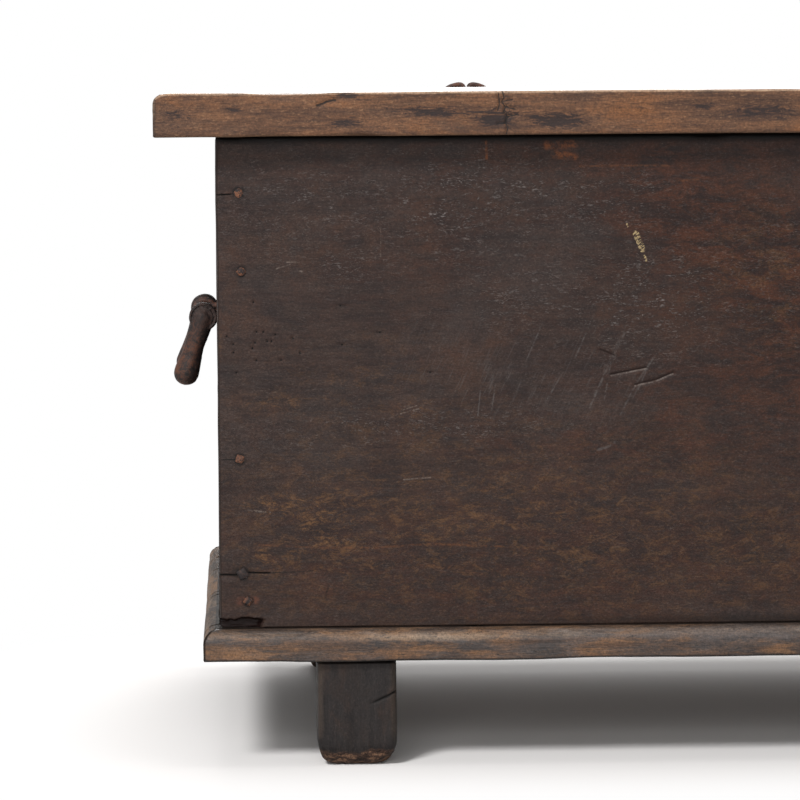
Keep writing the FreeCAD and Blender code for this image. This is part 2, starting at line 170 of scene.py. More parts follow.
def make(name, skins, material):
    """Smooth-shaded mesh object at the origin holding one or more skins."""
    points, faces, start = [], [], 0
    for places, quads, fans in skins:
        points.append(places)
        faces += (quads + start).tolist() + (fans + start).tolist()
        start += len(places)
    mesh = bpy.data.meshes.new(name)
    mesh.from_pydata(np.concatenate(points), [], faces)
    mesh.shade_smooth()
    mesh.materials.append(material)
    made = bpy.data.objects.new(name, mesh)
    bpy.context.scene.collection.objects.link(made)
    return made


def points_of(made):
    """Places of all points of a mesh object and outward unit vectors there, one row each."""
    places, normals = np.empty((2, len(made.data.vertices), 3))
    made.data.vertices.foreach_get("co", places.ravel())
    made.data.vertex_normals.foreach_get("vector", normals.ravel())
    return places, normals


def shift(made, move):
    """Adds move, one vector for each point, to a mesh object's points."""
    made.data.vertices.foreach_set("co", (points_of(made)[0] + move).ravel())
    made.data.update()


def mark(made, **amounts):
    """Keeps numbers from 0 to 1 for each point, under names that the finish reads."""
    for name, amount in amounts.items():
        layer = made.data.attributes.new(name, "FLOAT", "POINT")
        layer.data.foreach_set("value", np.clip(amount, 0, 1).astype(np.float32))


def belongs(piece, body, node):
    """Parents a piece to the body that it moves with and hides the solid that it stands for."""
    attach(piece, body)
    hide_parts(node)


def lattice_noise(places, seed):
    """Smooth noise from -1 to 1: random values on a unit lattice, blended by the smooth step of the place
    within its cell."""
    lattice = np.random.default_rng(seed).uniform(-1, 1, (32, 32, 32))
    cell = np.floor(places).astype(int)
    part = places - cell
    part = part * part * (3 - 2 * part)
    total = np.zeros(places.shape[:-1])
    for corner in np.ndindex(2, 2, 2):
        x, y, z = np.moveaxis((cell + corner) % 32, -1, 0)
        total += np.prod(np.where(corner, part, 1 - part), axis=-1) * lattice[x, y, z]
    return total


def rough(places, per_metre, seed, layers=3):
    """Noise summed over layers, each twice as fine and half as high as the one before."""
    total = 0
    for layer in range(layers):
        scaled = places * np.array(per_metre) * 2 ** layer
        total = total + lattice_noise(scaled + 17.3 * layer, seed + layer) / 2 ** layer
    return total


def step_up(value, low, high):
    """Smooth step from 0 at low to 1 at high."""
    share = np.clip((value - low) / (high - low), 0, 1)
    return share * share * (3 - 2 * share)


def patches(places, zones):
    """Sum of soft round-ended patches, each (X, Z, half width, half height, amount)."""
    total = np.zeros(len(places))
    for x, z, wide, tall, amount in zones:
        total += amount * np.exp(-((places[:, 0] - x) / wide) ** 2 - ((places[:, 2] - z) / tall) ** 2)
    return total


def tone(red, green, blue):
    """Linear colour of a display colour whose parts run from 0 to 255."""
    return tuple(((part / 255 + 0.055) / 1.055) ** 2.4 for part in (red, green, blue)) + (1,)


class Finish:
    """A material put together step by step: most methods add a node and give the socket of its result.
    Colours are display colours, each (red, green, blue)."""

    def __init__(self, name, specular):
        self.material = bpy.data.materials.new(name)
        self.material.use_nodes = True
        self.tree = self.material.node_tree
        self.shader = self.tree.nodes["Principled BSDF"]
        self.shader.inputs["Specular IOR Level"].default_value = specular
        self.place = self.tree.nodes.new("ShaderNodeTexCoord").outputs["Object"]

    def feed(self, socket, value):
        """Links a socket to another, or sets its own value."""
        if isinstance(value, bpy.types.NodeSocket):
            self.tree.links.new(value, socket)
        else:
            socket.default_value = value

    def node(self, kind, inputs, output=0, **settings):
        """Any node, with its settings and its inputs."""
        made = self.tree.nodes.new("ShaderNode" + kind)
        for key, value in settings.items():
            setattr(made, key, value)
        for key, value in inputs.items():
            self.feed(made.inputs[key], value)
        return made.outputs[output]

    def noise(self, per_metre, detail=4.0, ragged=0.55, warp=0.0, start=(0, 0, 0), turn=(0, 0, 0)):
        """Noise about 0.5 with the given number of features per metre along X, Y and Z, shifted or turned."""
        spot = self.node("Mapping", {"Vector": self.place, "Rotation": turn}, vector_type="POINT")
        spot = self.node("Mapping", {"Vector": spot, "Location": start, "Scale": per_metre})
        return self.node("TexNoise", {"Vector": spot, "Scale": 1.0, "Detail": detail,
                                      "Roughness": ragged, "Distortion": warp})

    def band(self, value, low, high):
        """Smooth step from 0 at low to 1 at high, falling where low is the larger."""
        return self.node("MapRange", {"Value": value, "From Min": low, "From Max": high},
                         interpolation_type="SMOOTHSTEP", clamp=False)

    def patch(self, low, high, *noise):
        """Patches from 0 to 1: the smooth step, from low to high, of noise with the given settings."""
        return self.band(self.noise(*noise), low, high)

    def span(self, value, low, high):
        """A value from 0 to 1 laid out from low to high."""
        return self.node("MapRange", {"Value": value, "To Min": low, "To Max": high})

    def times(self, first, second):
        """Product of two numbers."""
        return self.node("Math", {0: first, 1: second}, operation="MULTIPLY")

    def plus(self, first, second):
        """Sum of two numbers, kept from 0 to 1."""
        return self.node("Math", {0: first, 1: second}, operation="ADD", use_clamp=True)

    def weigh(self, first, share, second, other_share):
        """Sum of two numbers, each times its share, kept from 0 to 1."""
        return self.plus(self.times(first, share), self.times(second, other_share))

    def most(self, first, second):
        """The larger of two numbers."""
        return self.node("Math", {0: first, 1: second}, operation="MAXIMUM")

    def marked(self, name):
        """A number kept on the piece's points."""
        return self.node("Attribute", {}, output=2, attribute_name=name)

    def raised(self, low, high, name, weight, noise):
        """Patches that grow where the points carry a mark: smooth step of noise plus the weighted mark."""
        return self.band(self.plus(noise, self.times(self.marked(name), weight)), low, high)

    def mix(self, amount, under, over):
        """The linear colour over laid on the linear colour under by an amount."""
        return self.node("Mix", {0: amount, 6: under, 7: over}, output=2, data_type="RGBA")

    def lay(self, amount, colour):
        """Lays a colour over the finish so far by an amount."""
        self.colour = self.mix(amount, self.colour, tone(*colour))

    def close(self, roughness, height, depth):
        """Feeds the shader the colour so far, a roughness, and bumps of a height over a depth in metres."""
        self.feed(self.shader.inputs["Base Color"], self.colour)
        self.feed(self.shader.inputs["Roughness"], roughness)
        bump = self.node("Bump", {"Height": height, "Distance": depth, "Strength": 1.0})
        self.feed(self.shader.inputs["Normal"], bump)
        return self.material


def along_grain(axis, along, across):
    """Features per metre along the grain axis and across it."""
    return tuple(along if each == axis else across for each in "XYZ")


class Wood(Finish):
    """Old wood: fibres, threads and short flecks drawn out along the grain, gritty stains, and bare worn
    edges. The reach says how far the grain is drawn out, 1 being plain long grain, and blotch how many
    stains there are to a metre of it."""

    def __init__(self, name, axis, dark, light, stain, stain_from=0.5, specular=0.22, reach=1.0, blotch=19):
        super().__init__(name, specular)
        self.dark = dark
        self.fibre = self.noise(along_grain(axis, 8 / reach, 190), 8, 0.7, 0.2)
        self.thread = self.noise(along_grain(axis, 45 / reach, 800), 4, 0.6)
        self.flecks = self.noise(along_grain(axis, 170 / reach, 1000), 3, 0.6, 0.3)
        self.mottle = self.noise(along_grain(axis, blotch, 22), 9, 0.72, 0.4)
        self.speck = self.noise((330, 330, 330), 4, 0.65)
        self.grit = self.noise((620, 620, 620), 4, 0.75, 0.0, (7, 3, 1))
        base = self.weigh(self.fibre, 0.55, self.mottle, 0.45)
        self.colour = self.mix(self.band(base, 0.38, 0.62), tone(*dark), tone(*light))
        self.lay(self.times(self.band(self.mottle, stain_from, stain_from + 0.16), 0.8), stain)
        self.height = self.weigh(self.fibre, 0.35, self.thread, 0.35)
        self.height = self.plus(self.height, self.times(self.flecks, 0.2))

    def wear(self, name, colour, amount):
        """Lays a colour where the points carry a mark, broken up along the fibres and by specks."""
        ragged = self.weigh(self.fibre, 0.7, self.speck, 0.7)
        share = self.band(self.times(self.marked(name), ragged), 0.15, 0.55)
        self.lay(self.times(share, amount), colour)

    def grain(self, pale, pale_amount, dark_amount):
        """Fine grain over everything below: pale flecks, dark threads and open pores."""
        self.lay(self.times(self.band(self.flecks, 0.54, 0.72), pale_amount), pale)
        self.lay(self.times(self.band(self.thread, 0.5, 0.72), dark_amount), self.dark)
        self.lay(self.times(self.band(self.flecks, 0.42, 0.3), 0.6 * dark_amount), (16, 11, 10))

    def gritty(self, amount):
        """Makes the colour darker and lighter by an amount from grain to grain."""
        level = self.span(self.band(self.grit, 0.3, 0.7), 1 - amount, 1 + amount)
        self.colour = self.node("HueSaturation", {"Color": self.colour, "Value": level})

    def done(self, low, high, depth, polish=1.0):
        """Closes the shader, with its roughness from low to high by stains and threads, times a polish."""
        gloss = self.weigh(self.mottle, 0.6, self.thread, 0.4)
        return self.close(self.times(self.span(gloss, low, high), polish), self.height, depth)


rail_low, rail_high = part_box("base_rail_front")
rail_section = board_section(
    (0, rail_low.z), (rail_high.y - rail_low.y, rail_high.z),
    (RAIL_LOWER_ROUND, RAIL_INNER_ROUND, RAIL_INNER_ROUND, RAIL_ROUND),
    ((RAIL_HIDDEN_STEP, (0, RAIL_UNDER_SEEN, RAIL_STEP)), (RAIL_HIDDEN_STEP,),
     (RAIL_HIDDEN_STEP, (0, RAIL_TOP_SEEN, RAIL_FACE_STEP)), (RAIL_FACE_STEP,)))
rail_inset, rail_level = rail_section.T


def mitred_rail(turn, half, reach, step):
    """Rings along a rail: each point's distance along it is a share of the half length less the point's
    inset, which cuts both ends at the mitre, and the whole turns about Z to its side of the box."""
    share = np.linspace(-1, 1, round(2 * half / step))[:, None]
    along = share * (half - rail_inset)
    out = np.broadcast_to(reach - rail_inset, along.shape)
    level = np.broadcast_to(rail_level, along.shape)
    cosine, sine = round(math.cos(turn)), round(math.sin(turn))
    return np.stack([cosine * along + sine * out, sine * along - cosine * out, level], -1)


def rail_finish(name, axis, light, rubbed, specular, polish):
    """Brown wood greyed and blackened by dirt in ragged patches, amber where it is bare, with a paler rubbed
    rounding and dark pits. A grey sheen and a pale highlight are painted on the rounding in patches, and a
    near-black marks the mitre and splits and lays painted shade underneath and along the top."""
    wood = Wood(name, axis, (46, 36, 31), light, (106, 74, 47), 0.5, specular, 0.5)
    wood.wear("rubbed", rubbed, 0.55)
    # Painted sheen: grey patches on the rounding where the points carry the sheen mark
    bloom = wood.noise(along_grain(axis, 14, 60), 9, 0.72, 0.4, (1, 5, 2))
    wood.lay(wood.times(wood.raised(0.46, 0.68, "sheen", 0.16, bloom), 0.6), (80, 77, 77))
    # Painted highlight: a pale band on the rounding where the points carry the pale mark
    pale_highlight = wood.raised(0.36, 0.66, "pale", 0.5, wood.times(wood.mottle, 0.5))
    wood.lay(wood.times(pale_highlight, wood.marked("pale")), (146, 122, 99))
    ragged = wood.noise(along_grain(axis, 24, 100), 9, 0.76, 0.6, (3, 1, 2))
    wood.lay(wood.times(wood.raised(0.48, 0.70, "dirt", 0.15, ragged), 0.8), (42, 38, 38))
    patchy = wood.noise(along_grain(axis, 28, 120), 9, 0.75, 0.5, (8, 6, 4))
    wood.lay(wood.times(wood.raised(0.50, 0.70, "amber", 0.15, patchy), 0.6), (126, 89, 57))
    # Near-black where marked: the dark mitre joint and splits, a dark line along the lower edge, and painted
    # shade underneath and along the top under the plank
    wood.wear("grime", (20, 16, 14), 0.95)
    wood.grain((144, 112, 85), 0.22, 0.42)
    pits = wood.patch(0.59, 0.65, along_grain(axis, 110, 380), 6, 0.75, 0.5, (2, 2, 9))
    wood.lay(wood.times(pits, 0.85), (24, 18, 16))
    wood.gritty(0.38)
    return wood.done(0.40, 0.66, 0.0011, wood.span(wood.marked("rubbed"), 1.0, polish))


rail_finishes = {"X": rail_finish("rail_wood_long", "X", (86, 61, 44), (118, 95, 76), 0.34, 0.55),
                 "Y": rail_finish("rail_wood_short", "Y", (110, 92, 78), (132, 114, 99), 0.14, 1.3)}
for number, (side, turn) in enumerate(RAIL_TURNS.items()):
    axis = "X" if side in ("front", "back") else "Y"
    half, reach = (rail_high.x, -rail_low.y) if axis == "X" else (-rail_low.y, rail_high.x)
    step = RAIL_STEP if axis == "X" else SHORT_RAIL_STEP
    rail = make("worn_rail_" + side, [skin(mitred_rail(turn, half, reach, step))], rail_finishes[axis])
    places, normals = points_of(rail)
    rounding = step_up(normals[:, 2], -0.1, 0.9) * step_up(rail_high.z + 0.001 - places[:, 2], 0, 0.002)
    wave = RAIL_WAVE * rough(places, along_grain(axis, 7, 30), 40 + number) * (np.abs(normals[:, 2]) < 0.9)
    dents = step_up(rough(places, along_grain(axis, 28, 60), 50 + number, 2), 0.45, 1.1) * rounding
    scars = step_up(rough(places, along_grain(axis, 20, 260), 60 + number, 2), 0.3, 0.9)
    splits = np.zeros(len(places))
    for split_y in RAIL_SPLITS if axis == "Y" else ():
        line = split_y - RAIL_SPLIT_SLANT * (np.abs(places[:, 0]) - reach)
        line = line + RAIL_SPLIT_WANDER * rough(places, (90, 0, 90), 69 + number)
        splits += np.exp(-((places[:, 1] - line) / RAIL_SPLIT_WIDTH) ** 2)
    inward = RAIL_DENT * dents + RAIL_SCAR * scars + RAIL_SPLIT_DEPTH * splits
    move = normals * (wave - inward)[:, None]
    low_edge = step_up(rail_low.z + 0.009 - places[:, 2], 0, 0.008)
    length_only = places * (axis == "X", axis == "Y", 0)
    move[:, 2] += RAIL_EDGE_WAVE * low_edge * rough(length_only, (14, 14, 0), 65 + number)
    shift(rail, move)
    flat = np.abs(places[:, :2]) if axis == "X" else np.abs(places[:, 1::-1])
    mitre = np.exp(-((half - flat[:, 0] - reach + flat[:, 1]) / MITRE_GAP) ** 2)
    # Painted shade: dark on the underside and on the top where the plank stands on it
    painted_shade = step_up(-normals[:, 2], 0.5, 0.9) + step_up(places[:, 2], rail_high.z - 0.0006, rail_high.z)
    under_edge = step_up(rail_low.z + 0.0022 - places[:, 2], 0, 0.0012)
    at_wall = 0.8 * step_up(normals[:, 2], 0.62, 0.9)
    worn_through = rough(places, along_grain(axis, 7, 40), 73 + number, 2)
    in_front = side == "front"
    mark(rail, rubbed=rounding,
         # Near-black mark: painted shade, the lower edge line, the mitre joint and the splits
         grime=painted_shade + 0.8 * under_edge + mitre + 1.4 * splits,
         amber=patches(places, RAIL_AMBER) if in_front else worn_through,
         dirt=at_wall + (patches(places, RAIL_DIRT) if in_front else 0.35 - worn_through),
         # Sheen and pale marks: where a grey sheen and a pale highlight are painted on the rounding
         sheen=patches(places, RAIL_PAINTED_SHEEN) if in_front else worn_through - 0.5,
         pale=patches(places, RAIL_PAINTED_HIGHLIGHT) if axis == "X" else 0.3 * rounding)
    belongs(rail, "chest", "base_rail_" + side)

# Feet
# Four square blocks of dark wood under the long rails, tenoned up into them. Their edges are eased, and
# years of dragging have worn the bottoms round and brown, with drying cracks running up from there.

FOOT_EDGE_ROUND = 0.006
FOOT_WEAR_IN = 0.0125
FOOT_WEAR_UP = 0.018
FOOT_STEP = 0.0016
FOOT_CAPS = np.array([0.2, 0.5, 0.8])
FOOT_WAVE = 0.0004
FOOT_FIBRE = 0.0002
FOOT_TORN = 0.0028
FOOT_RECESS = 0.004
FOOT_CRACK_LEVEL = 0.052
FOOT_CRACK_RISE = 0.027
FOOT_CRACK_WIDTH = 0.0008
FOOT_CRACK_DEPTH = 0.0018
FOOT_CRACK_WANDER = 0.001
FOOT_CRACK_CLOSE = (0.046, 0.058, 0.0008)
FOOT_LIP_LEVEL = 0.0135
FOOT_LIP_WIDTH = 0.0009
FOOT_LIP_WANDER = 0.0022


def edge_nearness(places, low, high, reach):
    """From 1 on the edges of a box to 0 away from them: the second smallest of the distances to its three
    pairs of faces, fading as a bell curve."""
    gap = np.minimum(np.abs(places - np.array(low)), np.abs(np.array(high) - places))
    return np.exp(-(np.sort(gap, 1)[:, 1] / reach) ** 2)


def worn_foot(low, high):
    """Rings up a foot: a round-cornered rectangle whose core shrinks by a quarter ellipse near the floor,
    with shrinking rings to close the bottom and the top."""
    middle = np.array([(low.x + high.x) / 2, (low.y + high.y) / 2])
    half = np.array([(high.x - low.x) / 2, (high.y - low.y) / 2])
    section = board_section(-half, half, (FOOT_EDGE_ROUND,) * 4, ((FOOT_STEP,),) * 4)
    core_half = half - FOOT_EDGE_ROUND
    core = np.clip(section, -core_half, core_half)
    edge = section - core
    angle = np.linspace(0, np.pi / 2, 12)
    top_close = (rail_low.z - 0.005, rail_low.z, 0.0006)
    straight = stations(FOOT_WEAR_UP, rail_low.z, FOOT_STEP, FOOT_CRACK_CLOSE, top_close)[1:]
    flat_cap = 0 * FOOT_CAPS
    level = np.concatenate([flat_cap, FOOT_WEAR_UP * (1 - np.cos(angle)), straight, flat_cap + rail_low.z])
    worn_in = FOOT_WEAR_IN * (1 - np.sin(angle))
    inset = np.concatenate([flat_cap + FOOT_WEAR_IN, worn_in, 0 * straight, flat_cap])[:, None, None]
    shrink = np.concatenate([FOOT_CAPS, np.ones(angle.size + straight.size), FOOT_CAPS[::-1]])
    flat = (core * (1 - inset / core_half) + edge) * shrink[:, None, None] + middle
    return np.concatenate([flat, np.broadcast_to(level[:, None, None], flat.shape[:2] + (1,))], -1)


def foot_finish():
    """Grey-black wood with upright grain, a little brown on the rubbed edges, and brown with pale torn fibres
    where the bottom is worn. Near-black lies in the cracks and as painted shade in a band under the rail."""
    wood = Wood("foot_wood", "Z", (27, 24, 24), (45, 41, 40), (43, 36, 33), 0.5, 0.16, 0.5)
    brown = wood.patch(0.52, 0.64, (40, 40, 16), 8, 0.75, 0.4, (6, 1, 5))
    wood.lay(wood.times(brown, 0.45), (58, 44, 37))
    wood.wear("rubbed", (84, 72, 63), 0.35)
    worn = wood.raised(0.45, 0.62, "worn", 0.5, wood.times(wood.mottle, 0.5))
    wood.lay(wood.times(worn, 0.85), (66, 48, 39))
    torn = wood.noise((170, 170, 330), 7, 0.78, 0.5, (2, 2, 6))
    pale = wood.times(wood.band(torn, 0.51, 0.58), worn)
    wood.lay(wood.times(pale, 0.85), (130, 99, 78))
    crevice = wood.times(wood.band(torn, 0.47, 0.41), worn)
    wood.lay(wood.times(crevice, 0.95), (14, 10, 8))
    wood.grain((84, 76, 70), 0.2, 0.35)
    # Near-black on the crack, the lip line and a band of painted shade under the rail
    wood.lay(wood.marked("crack"), (10, 8, 7))
    wood.gritty(0.2)
    return wood.done(0.5, 0.78, 0.0007)


foot_material = foot_finish()
for number, corner in enumerate(("front_left", "front_right", "back_left", "back_right")):
    foot_low, foot_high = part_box("foot_" + corner)
    foot = make("worn_foot_" + corner, [skin(worn_foot(foot_low, foot_high))], foot_material)
    places, normals = points_of(foot)
    level = places[:, 2]
    wave = FOOT_WAVE * rough(places, (25, 25, 9), 70 + number)
    wave = wave + FOOT_FIBRE * rough(places, (160, 160, 14), 80 + number)
    low_share = step_up(0.02 - level, 0, 0.02)
    lumps = rough(places, (75, 75, 75), 90 + number)
    height = np.where(level < 1e-4, 0, wave - FOOT_TORN * low_share * step_up(lumps, -0.2, 1.1))
    spread = (places[:, 0] - (foot_low.x + foot_high.x) / 2) / (foot_high.x - foot_low.x)
    crack_line = FOOT_CRACK_LEVEL + FOOT_CRACK_RISE * (spread - 0.36)
    crack_line = crack_line + FOOT_CRACK_WANDER * rough(places, (90, 90, 0), 95 + number)
    crack = np.exp(-((level - crack_line) / FOOT_CRACK_WIDTH) ** 2) * step_up(spread, 0.12, 0.3)
    crack = crack * (normals[:, 1] < -0.3)
    move = normals * (height - FOOT_CRACK_DEPTH * crack)[:, None]
    # Painted shade: a dark band at the top of the foot, under the rail
    shaded = step_up(level, rail_low.z - 0.0030, rail_low.z - 0.0016)
    shift(foot, move - FOOT_RECESS * shaded[:, None] * normals * (1, 1, 0))
    lip_line = FOOT_LIP_LEVEL + FOOT_LIP_WANDER * rough(places, (110, 110, 0), 99 + number)
    lip = np.exp(-((level - lip_line) / FOOT_LIP_WIDTH) ** 2)
    lip = lip * step_up(rough(places, (70, 70, 0), 98 + number), -0.3, 0.3)
    mark(foot, rubbed=edge_nearness(places, foot_low, foot_high, 0.005) * step_up(level, 0.01, 0.03),
         worn=1.3 * low_share + 0.35 * step_up(0.03 - level, 0, 0.03) * lumps,
         # Crack mark: the crack, the lip line and the painted shade under the rail
         crack=1.8 * crack + 0.95 * shaded + 0.8 * lip)
    belongs(foot, "chest", "foot_" + corner)

# Front plank
# One wide dark board, nailed over the ends of the two end planks. Its old lacquer is wrinkled, scuffed and
# stained; it has split beside the nails, lost a chip at its lower left corner, and holds worm holes.

PLANK_ROUND = 0.003
PLANK_INNER_ROUND = 0.0006
PLANK_FOOT_ROUND = 0.0012
PLANK_DEPTH = 0.0005
END_CAPS = np.array([0.15, 0.4, 0.7, 0.9])
FRONT_WAVE = 0.0005
FRONT_FIBRE = 0.00015
FRONT_NICK = 0.0012
FRONT_STEP = 0.0038
FRONT_CLOSE_ALONG = ((-0.5, -0.438, 0.0009), (-0.218, -0.161, 0.0011))
FRONT_CLOSE_UP = ((0.104, 0.114, 0.0009), (0.1438, 0.1465, 0.0004), (0.280, 0.297, 0.0009),
                  (0.297, 0.348, 0.0011), (0.4240, 0.4268, 0.0004))
NAIL_INSETS = (0.0167, 0.018, 0.016, 0.0175, 0.021)
NAIL_HEIGHTS = (0.4265, 0.3685, 0.230, 0.1445, 0.124)
NAIL_HEADS = (0.0066, 0.0064, 0.0062, 0.0072, 0.0060)
CHIP_LENGTH = 0.034
CHIP_HEIGHT = 0.0077
CHIP_DEPTH = 0.007
CHIP_TOP_RAGGED = 0.0011
CHIP_END_RAGGED = 0.0012
CHIP_BACK_RAGGED = 0.0008
WORM_HOLE = 0.0009
WORM_DEPTH = 0.0018
SPLIT_DEPTH = 0.0016
GOUGE_DEPTH = 0.0011
GOUGE_WIDTH = 0.0011
GOUGE_SIDE = 0.0006
# Widths of the painted shade and highlight beside the gouges
GOUGE_SHADE_WIDTH = 0.0010
GOUGE_HIGHLIGHT_WIDTH = 0.0009
# Places (X, Z) of worm holes, and lines of marks, each (corners, width)
WORM_HOLES = (
    (-0.473, 0.346), (-0.471, 0.324), (-0.466, 0.324), (-0.457, 0.322), (-0.463, 0.317), (-0.460, 0.317),
    (-0.472, 0.316), (-0.474, 0.312), (-0.444, 0.319), (-0.439, 0.308), (-0.471, 0.303), (-0.453, 0.303),
    (-0.486, 0.294), (-0.488, 0.315), (-0.488, 0.309), (-0.493, 0.321), (-0.409, 0.343), (-0.380, 0.323),
    (-0.408, 0.314), (-0.343, 0.293))
SPLITS = (
    (((-0.499, 0.4250), (-0.489, 0.4255)), 0.0008), (((-0.500, 0.1440), (-0.487, 0.1437)), 0.0011),
    (((-0.478, 0.1454), (-0.470, 0.1451), (-0.463, 0.1449)), 0.0009),
    (((-0.4966, 0.2296), (-0.487, 0.2298)), 0.0006))
SPLIT_TAILS = (
    (((-0.463, 0.1449), (-0.452, 0.1454), (-0.443, 0.1455), (-0.431, 0.1462)), 0.0007),
    (((-0.419, 0.1350), (-0.4215, 0.1270)), 0.0012))
GOUGES = (
    ((-0.209, 0.290), (-0.183, 0.295)), ((-0.191, 0.2824), (-0.175, 0.286), (-0.163, 0.291)),
    ((-0.217, 0.3086), (-0.207, 0.3045)))
SOFT_SCRAPES = (
    (((-0.1990, 0.3211), (-0.2130, 0.2923), (-0.2250, 0.2661)), 0.0013),
    (((-0.2090, 0.3000), (-0.2139, 0.2717)), 0.0009),
    (((-0.1767, 0.3035), (-0.1907, 0.2829), (-0.2018, 0.2605)), 0.0011),
    (((-0.1814, 0.2960), (-0.1888, 0.2792)), 0.0009),
    (((-0.2186, 0.2344), (-0.2120, 0.2365), (-0.2065, 0.2400)), 0.0016),
    (((-0.2595, 0.3296), (-0.2725, 0.2997)), 0.0008), (((-0.2223, 0.3333), (-0.2353, 0.3035)), 0.0009),
    (((-0.2948, 0.2829), (-0.2985, 0.2587)), 0.0008), (((-0.3059, 0.2792), (-0.3078, 0.2605)), 0.0008),
    (((-0.2446, 0.2923), (-0.2613, 0.2643)), 0.0009))
SHARP_SCRATCHES = (
    (((-0.379, 0.379), (-0.379, 0.399)), 0.0005), (((-0.363, 0.2135), (-0.343, 0.215)), 0.0008),
    (((-0.365, 0.2625), (-0.351, 0.2665)), 0.0008), (((-0.363, 0.2655), (-0.353, 0.2685)), 0.0006),
    (((-0.456, 0.3705), (-0.446, 0.3735)), 0.0007), (((-0.448, 0.3752), (-0.437, 0.3757)), 0.0008),
    (((-0.440, 0.3688), (-0.437, 0.3684)), 0.0010), (((-0.478, 0.192), (-0.462, 0.190)), 0.0010))
GRAIN_LINES = (
    (((-0.470, 0.1660), (-0.430, 0.1635), (-0.385, 0.1630), (-0.345, 0.1655), (-0.290, 0.1630)), 0.0012),
    (((-0.232, 0.4443), (-0.205, 0.4448), (-0.166, 0.4446)), 0.0012),
    (((-0.160, 0.4330), (-0.142, 0.4345)), 0.0012))
TORN_NAIL = ((((-0.4845, 0.1242), (-0.4735, 0.1246)), 0.0046),)
DRIPS = (
    (((-0.301, 0.4630), (-0.3008, 0.4505)), 0.0014), (((-0.256, 0.4600), (-0.236, 0.4605)), 0.0045),
    (((-0.250, 0.4535), (-0.236, 0.4520)), 0.0045))
CREAM_PAINT = (
    (((-0.1905, 0.3945), (-0.1857, 0.3830)), 0.0036), (((-0.1840, 0.3780), (-0.1826, 0.3740)), 0.0013),
    (((-0.1974, 0.4022), (-0.1966, 0.4000)), 0.0010))
# Zones, each (X, Z, half width, half height, amount)
RED_ZONES = (
    (-0.10, 0.385, 0.08, 0.05, 0.9), (-0.07, 0.33, 0.04, 0.06, 0.8), (-0.24, 0.450, 0.16, 0.018, 0.6),
    (-0.16, 0.41, 0.05, 0.03, 0.7), (-0.13, 0.27, 0.10, 0.05, 0.45), (-0.20, 0.24, 0.12, 0.02, 0.4),
    (-0.15, 0.14, 0.25, 0.06, 0.3), (-0.35, 0.15, 0.14, 0.05, 0.25), (-0.33, 0.38, 0.1, 0.05, 0.2),
    (0.2, 0.3, 0.2, 0.12, 0.7))
GOLDEN_ZONES = (
    (-0.422, 0.180, 0.022, 0.025, 0.7), (-0.46, 0.195, 0.02, 0.008, 0.9), (-0.47, 0.155, 0.014, 0.008, 0.8),
    (-0.36, 0.18, 0.16, 0.08, 0.37), (-0.20, 0.17, 0.22, 0.07, 0.37), (-0.09, 0.36, 0.05, 0.05, 0.45),
    (-0.46, 0.272, 0.025, 0.005, 0.5), (-0.358, 0.266, 0.012, 0.006, 0.8), (-0.40, 0.29, 0.06, 0.03, 0.25),
    (-0.4985, 0.3176, 0.002, 0.009, 1.0), (0.33, 0.2, 0.1, 0.08, 0.4), (0.1, 0.15, 0.2, 0.05, 0.4))
HATCHED_ZONES = (
    (-0.29, 0.285, 0.05, 0.03, 0.9), (-0.205, 0.29, 0.035, 0.035, 0.7), (-0.34, 0.30, 0.03, 0.03, 0.4))
SCUFFED_ZONES = (
    (-0.313, 0.42, 0.04, 0.035, 1.0), (-0.276, 0.346, 0.03, 0.02, 0.6), (-0.185, 0.345, 0.05, 0.035, 0.9),
    (-0.23, 0.42, 0.06, 0.02, 0.6), (-0.42, 0.42, 0.09, 0.03, 0.45), (-0.41, 0.372, 0.03, 0.012, 0.5),
    (-0.30, 0.255, 0.05, 0.01, 0.6), (-0.39, 0.25, 0.06, 0.012, 0.5), (0.15, 0.36, 0.2, 0.06, 0.7))


def board(order, along, section, end_round):
    """Rings of a board: its section carried along it, drawn in along its own normals by a quarter circle at
    both ends, then shrunk in steps to the middle of the end grain. The order names the axis along the
    board and the two axes of the section."""
    chord = np.roll(section, -1, 0) - np.roll(section, 1, 0)
    outward = np.stack([chord[:, 1], -chord[:, 0]], -1) / np.linalg.norm(chord, axis=1)[:, None]
    angle = np.linspace(0, np.pi / 2, 6)[1:]
    ease_in, ease_on = end_round * (1 - np.cos(angle)), end_round * (1 - np.sin(angle))
    low, high = along[0], along[-1]
    body = along[(along > low + end_round) & (along < high - end_round)]
    cap = 0 * END_CAPS
    level = np.concatenate([cap + low, (low + ease_on)[::-1], body, high - ease_on, cap + high])
    inset = np.concatenate([cap + end_round, ease_in[::-1], 0 * body, ease_in, cap + end_round])
    shrink = np.concatenate([END_CAPS, np.ones(body.size + 2 * angle.size), END_CAPS[::-1]])
    middle = (section.min(0) + section.max(0)) / 2
    flat = (section - inset[:, None, None] * outward - middle) * shrink[:, None, None] + middle
    rings = np.empty(flat.shape[:2] + (3,))
    rings[..., "XYZ".index(order[0])] = level[:, None]
    rings[..., "XYZ".index(order[1])] = flat[..., 0]
    rings[..., "XYZ".index(order[2])] = flat[..., 1]
    return rings


def plank(name, node, order, rounds, spacing, end_round, step, material, windows=()):
    """Mesh object of a board that fills a node's box, with stations a step apart along it, and closer in
    the windows."""
    low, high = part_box(node)
    along, across, up = ("XYZ".index(axis) for axis in order)
    section = board_section((low[across], low[up]), (high[across], high[up]), rounds, spacing)
    rings = board(order, stations(low[along], high[along], step, *windows), section, end_round)
    return make(name, [skin(rings)], material)


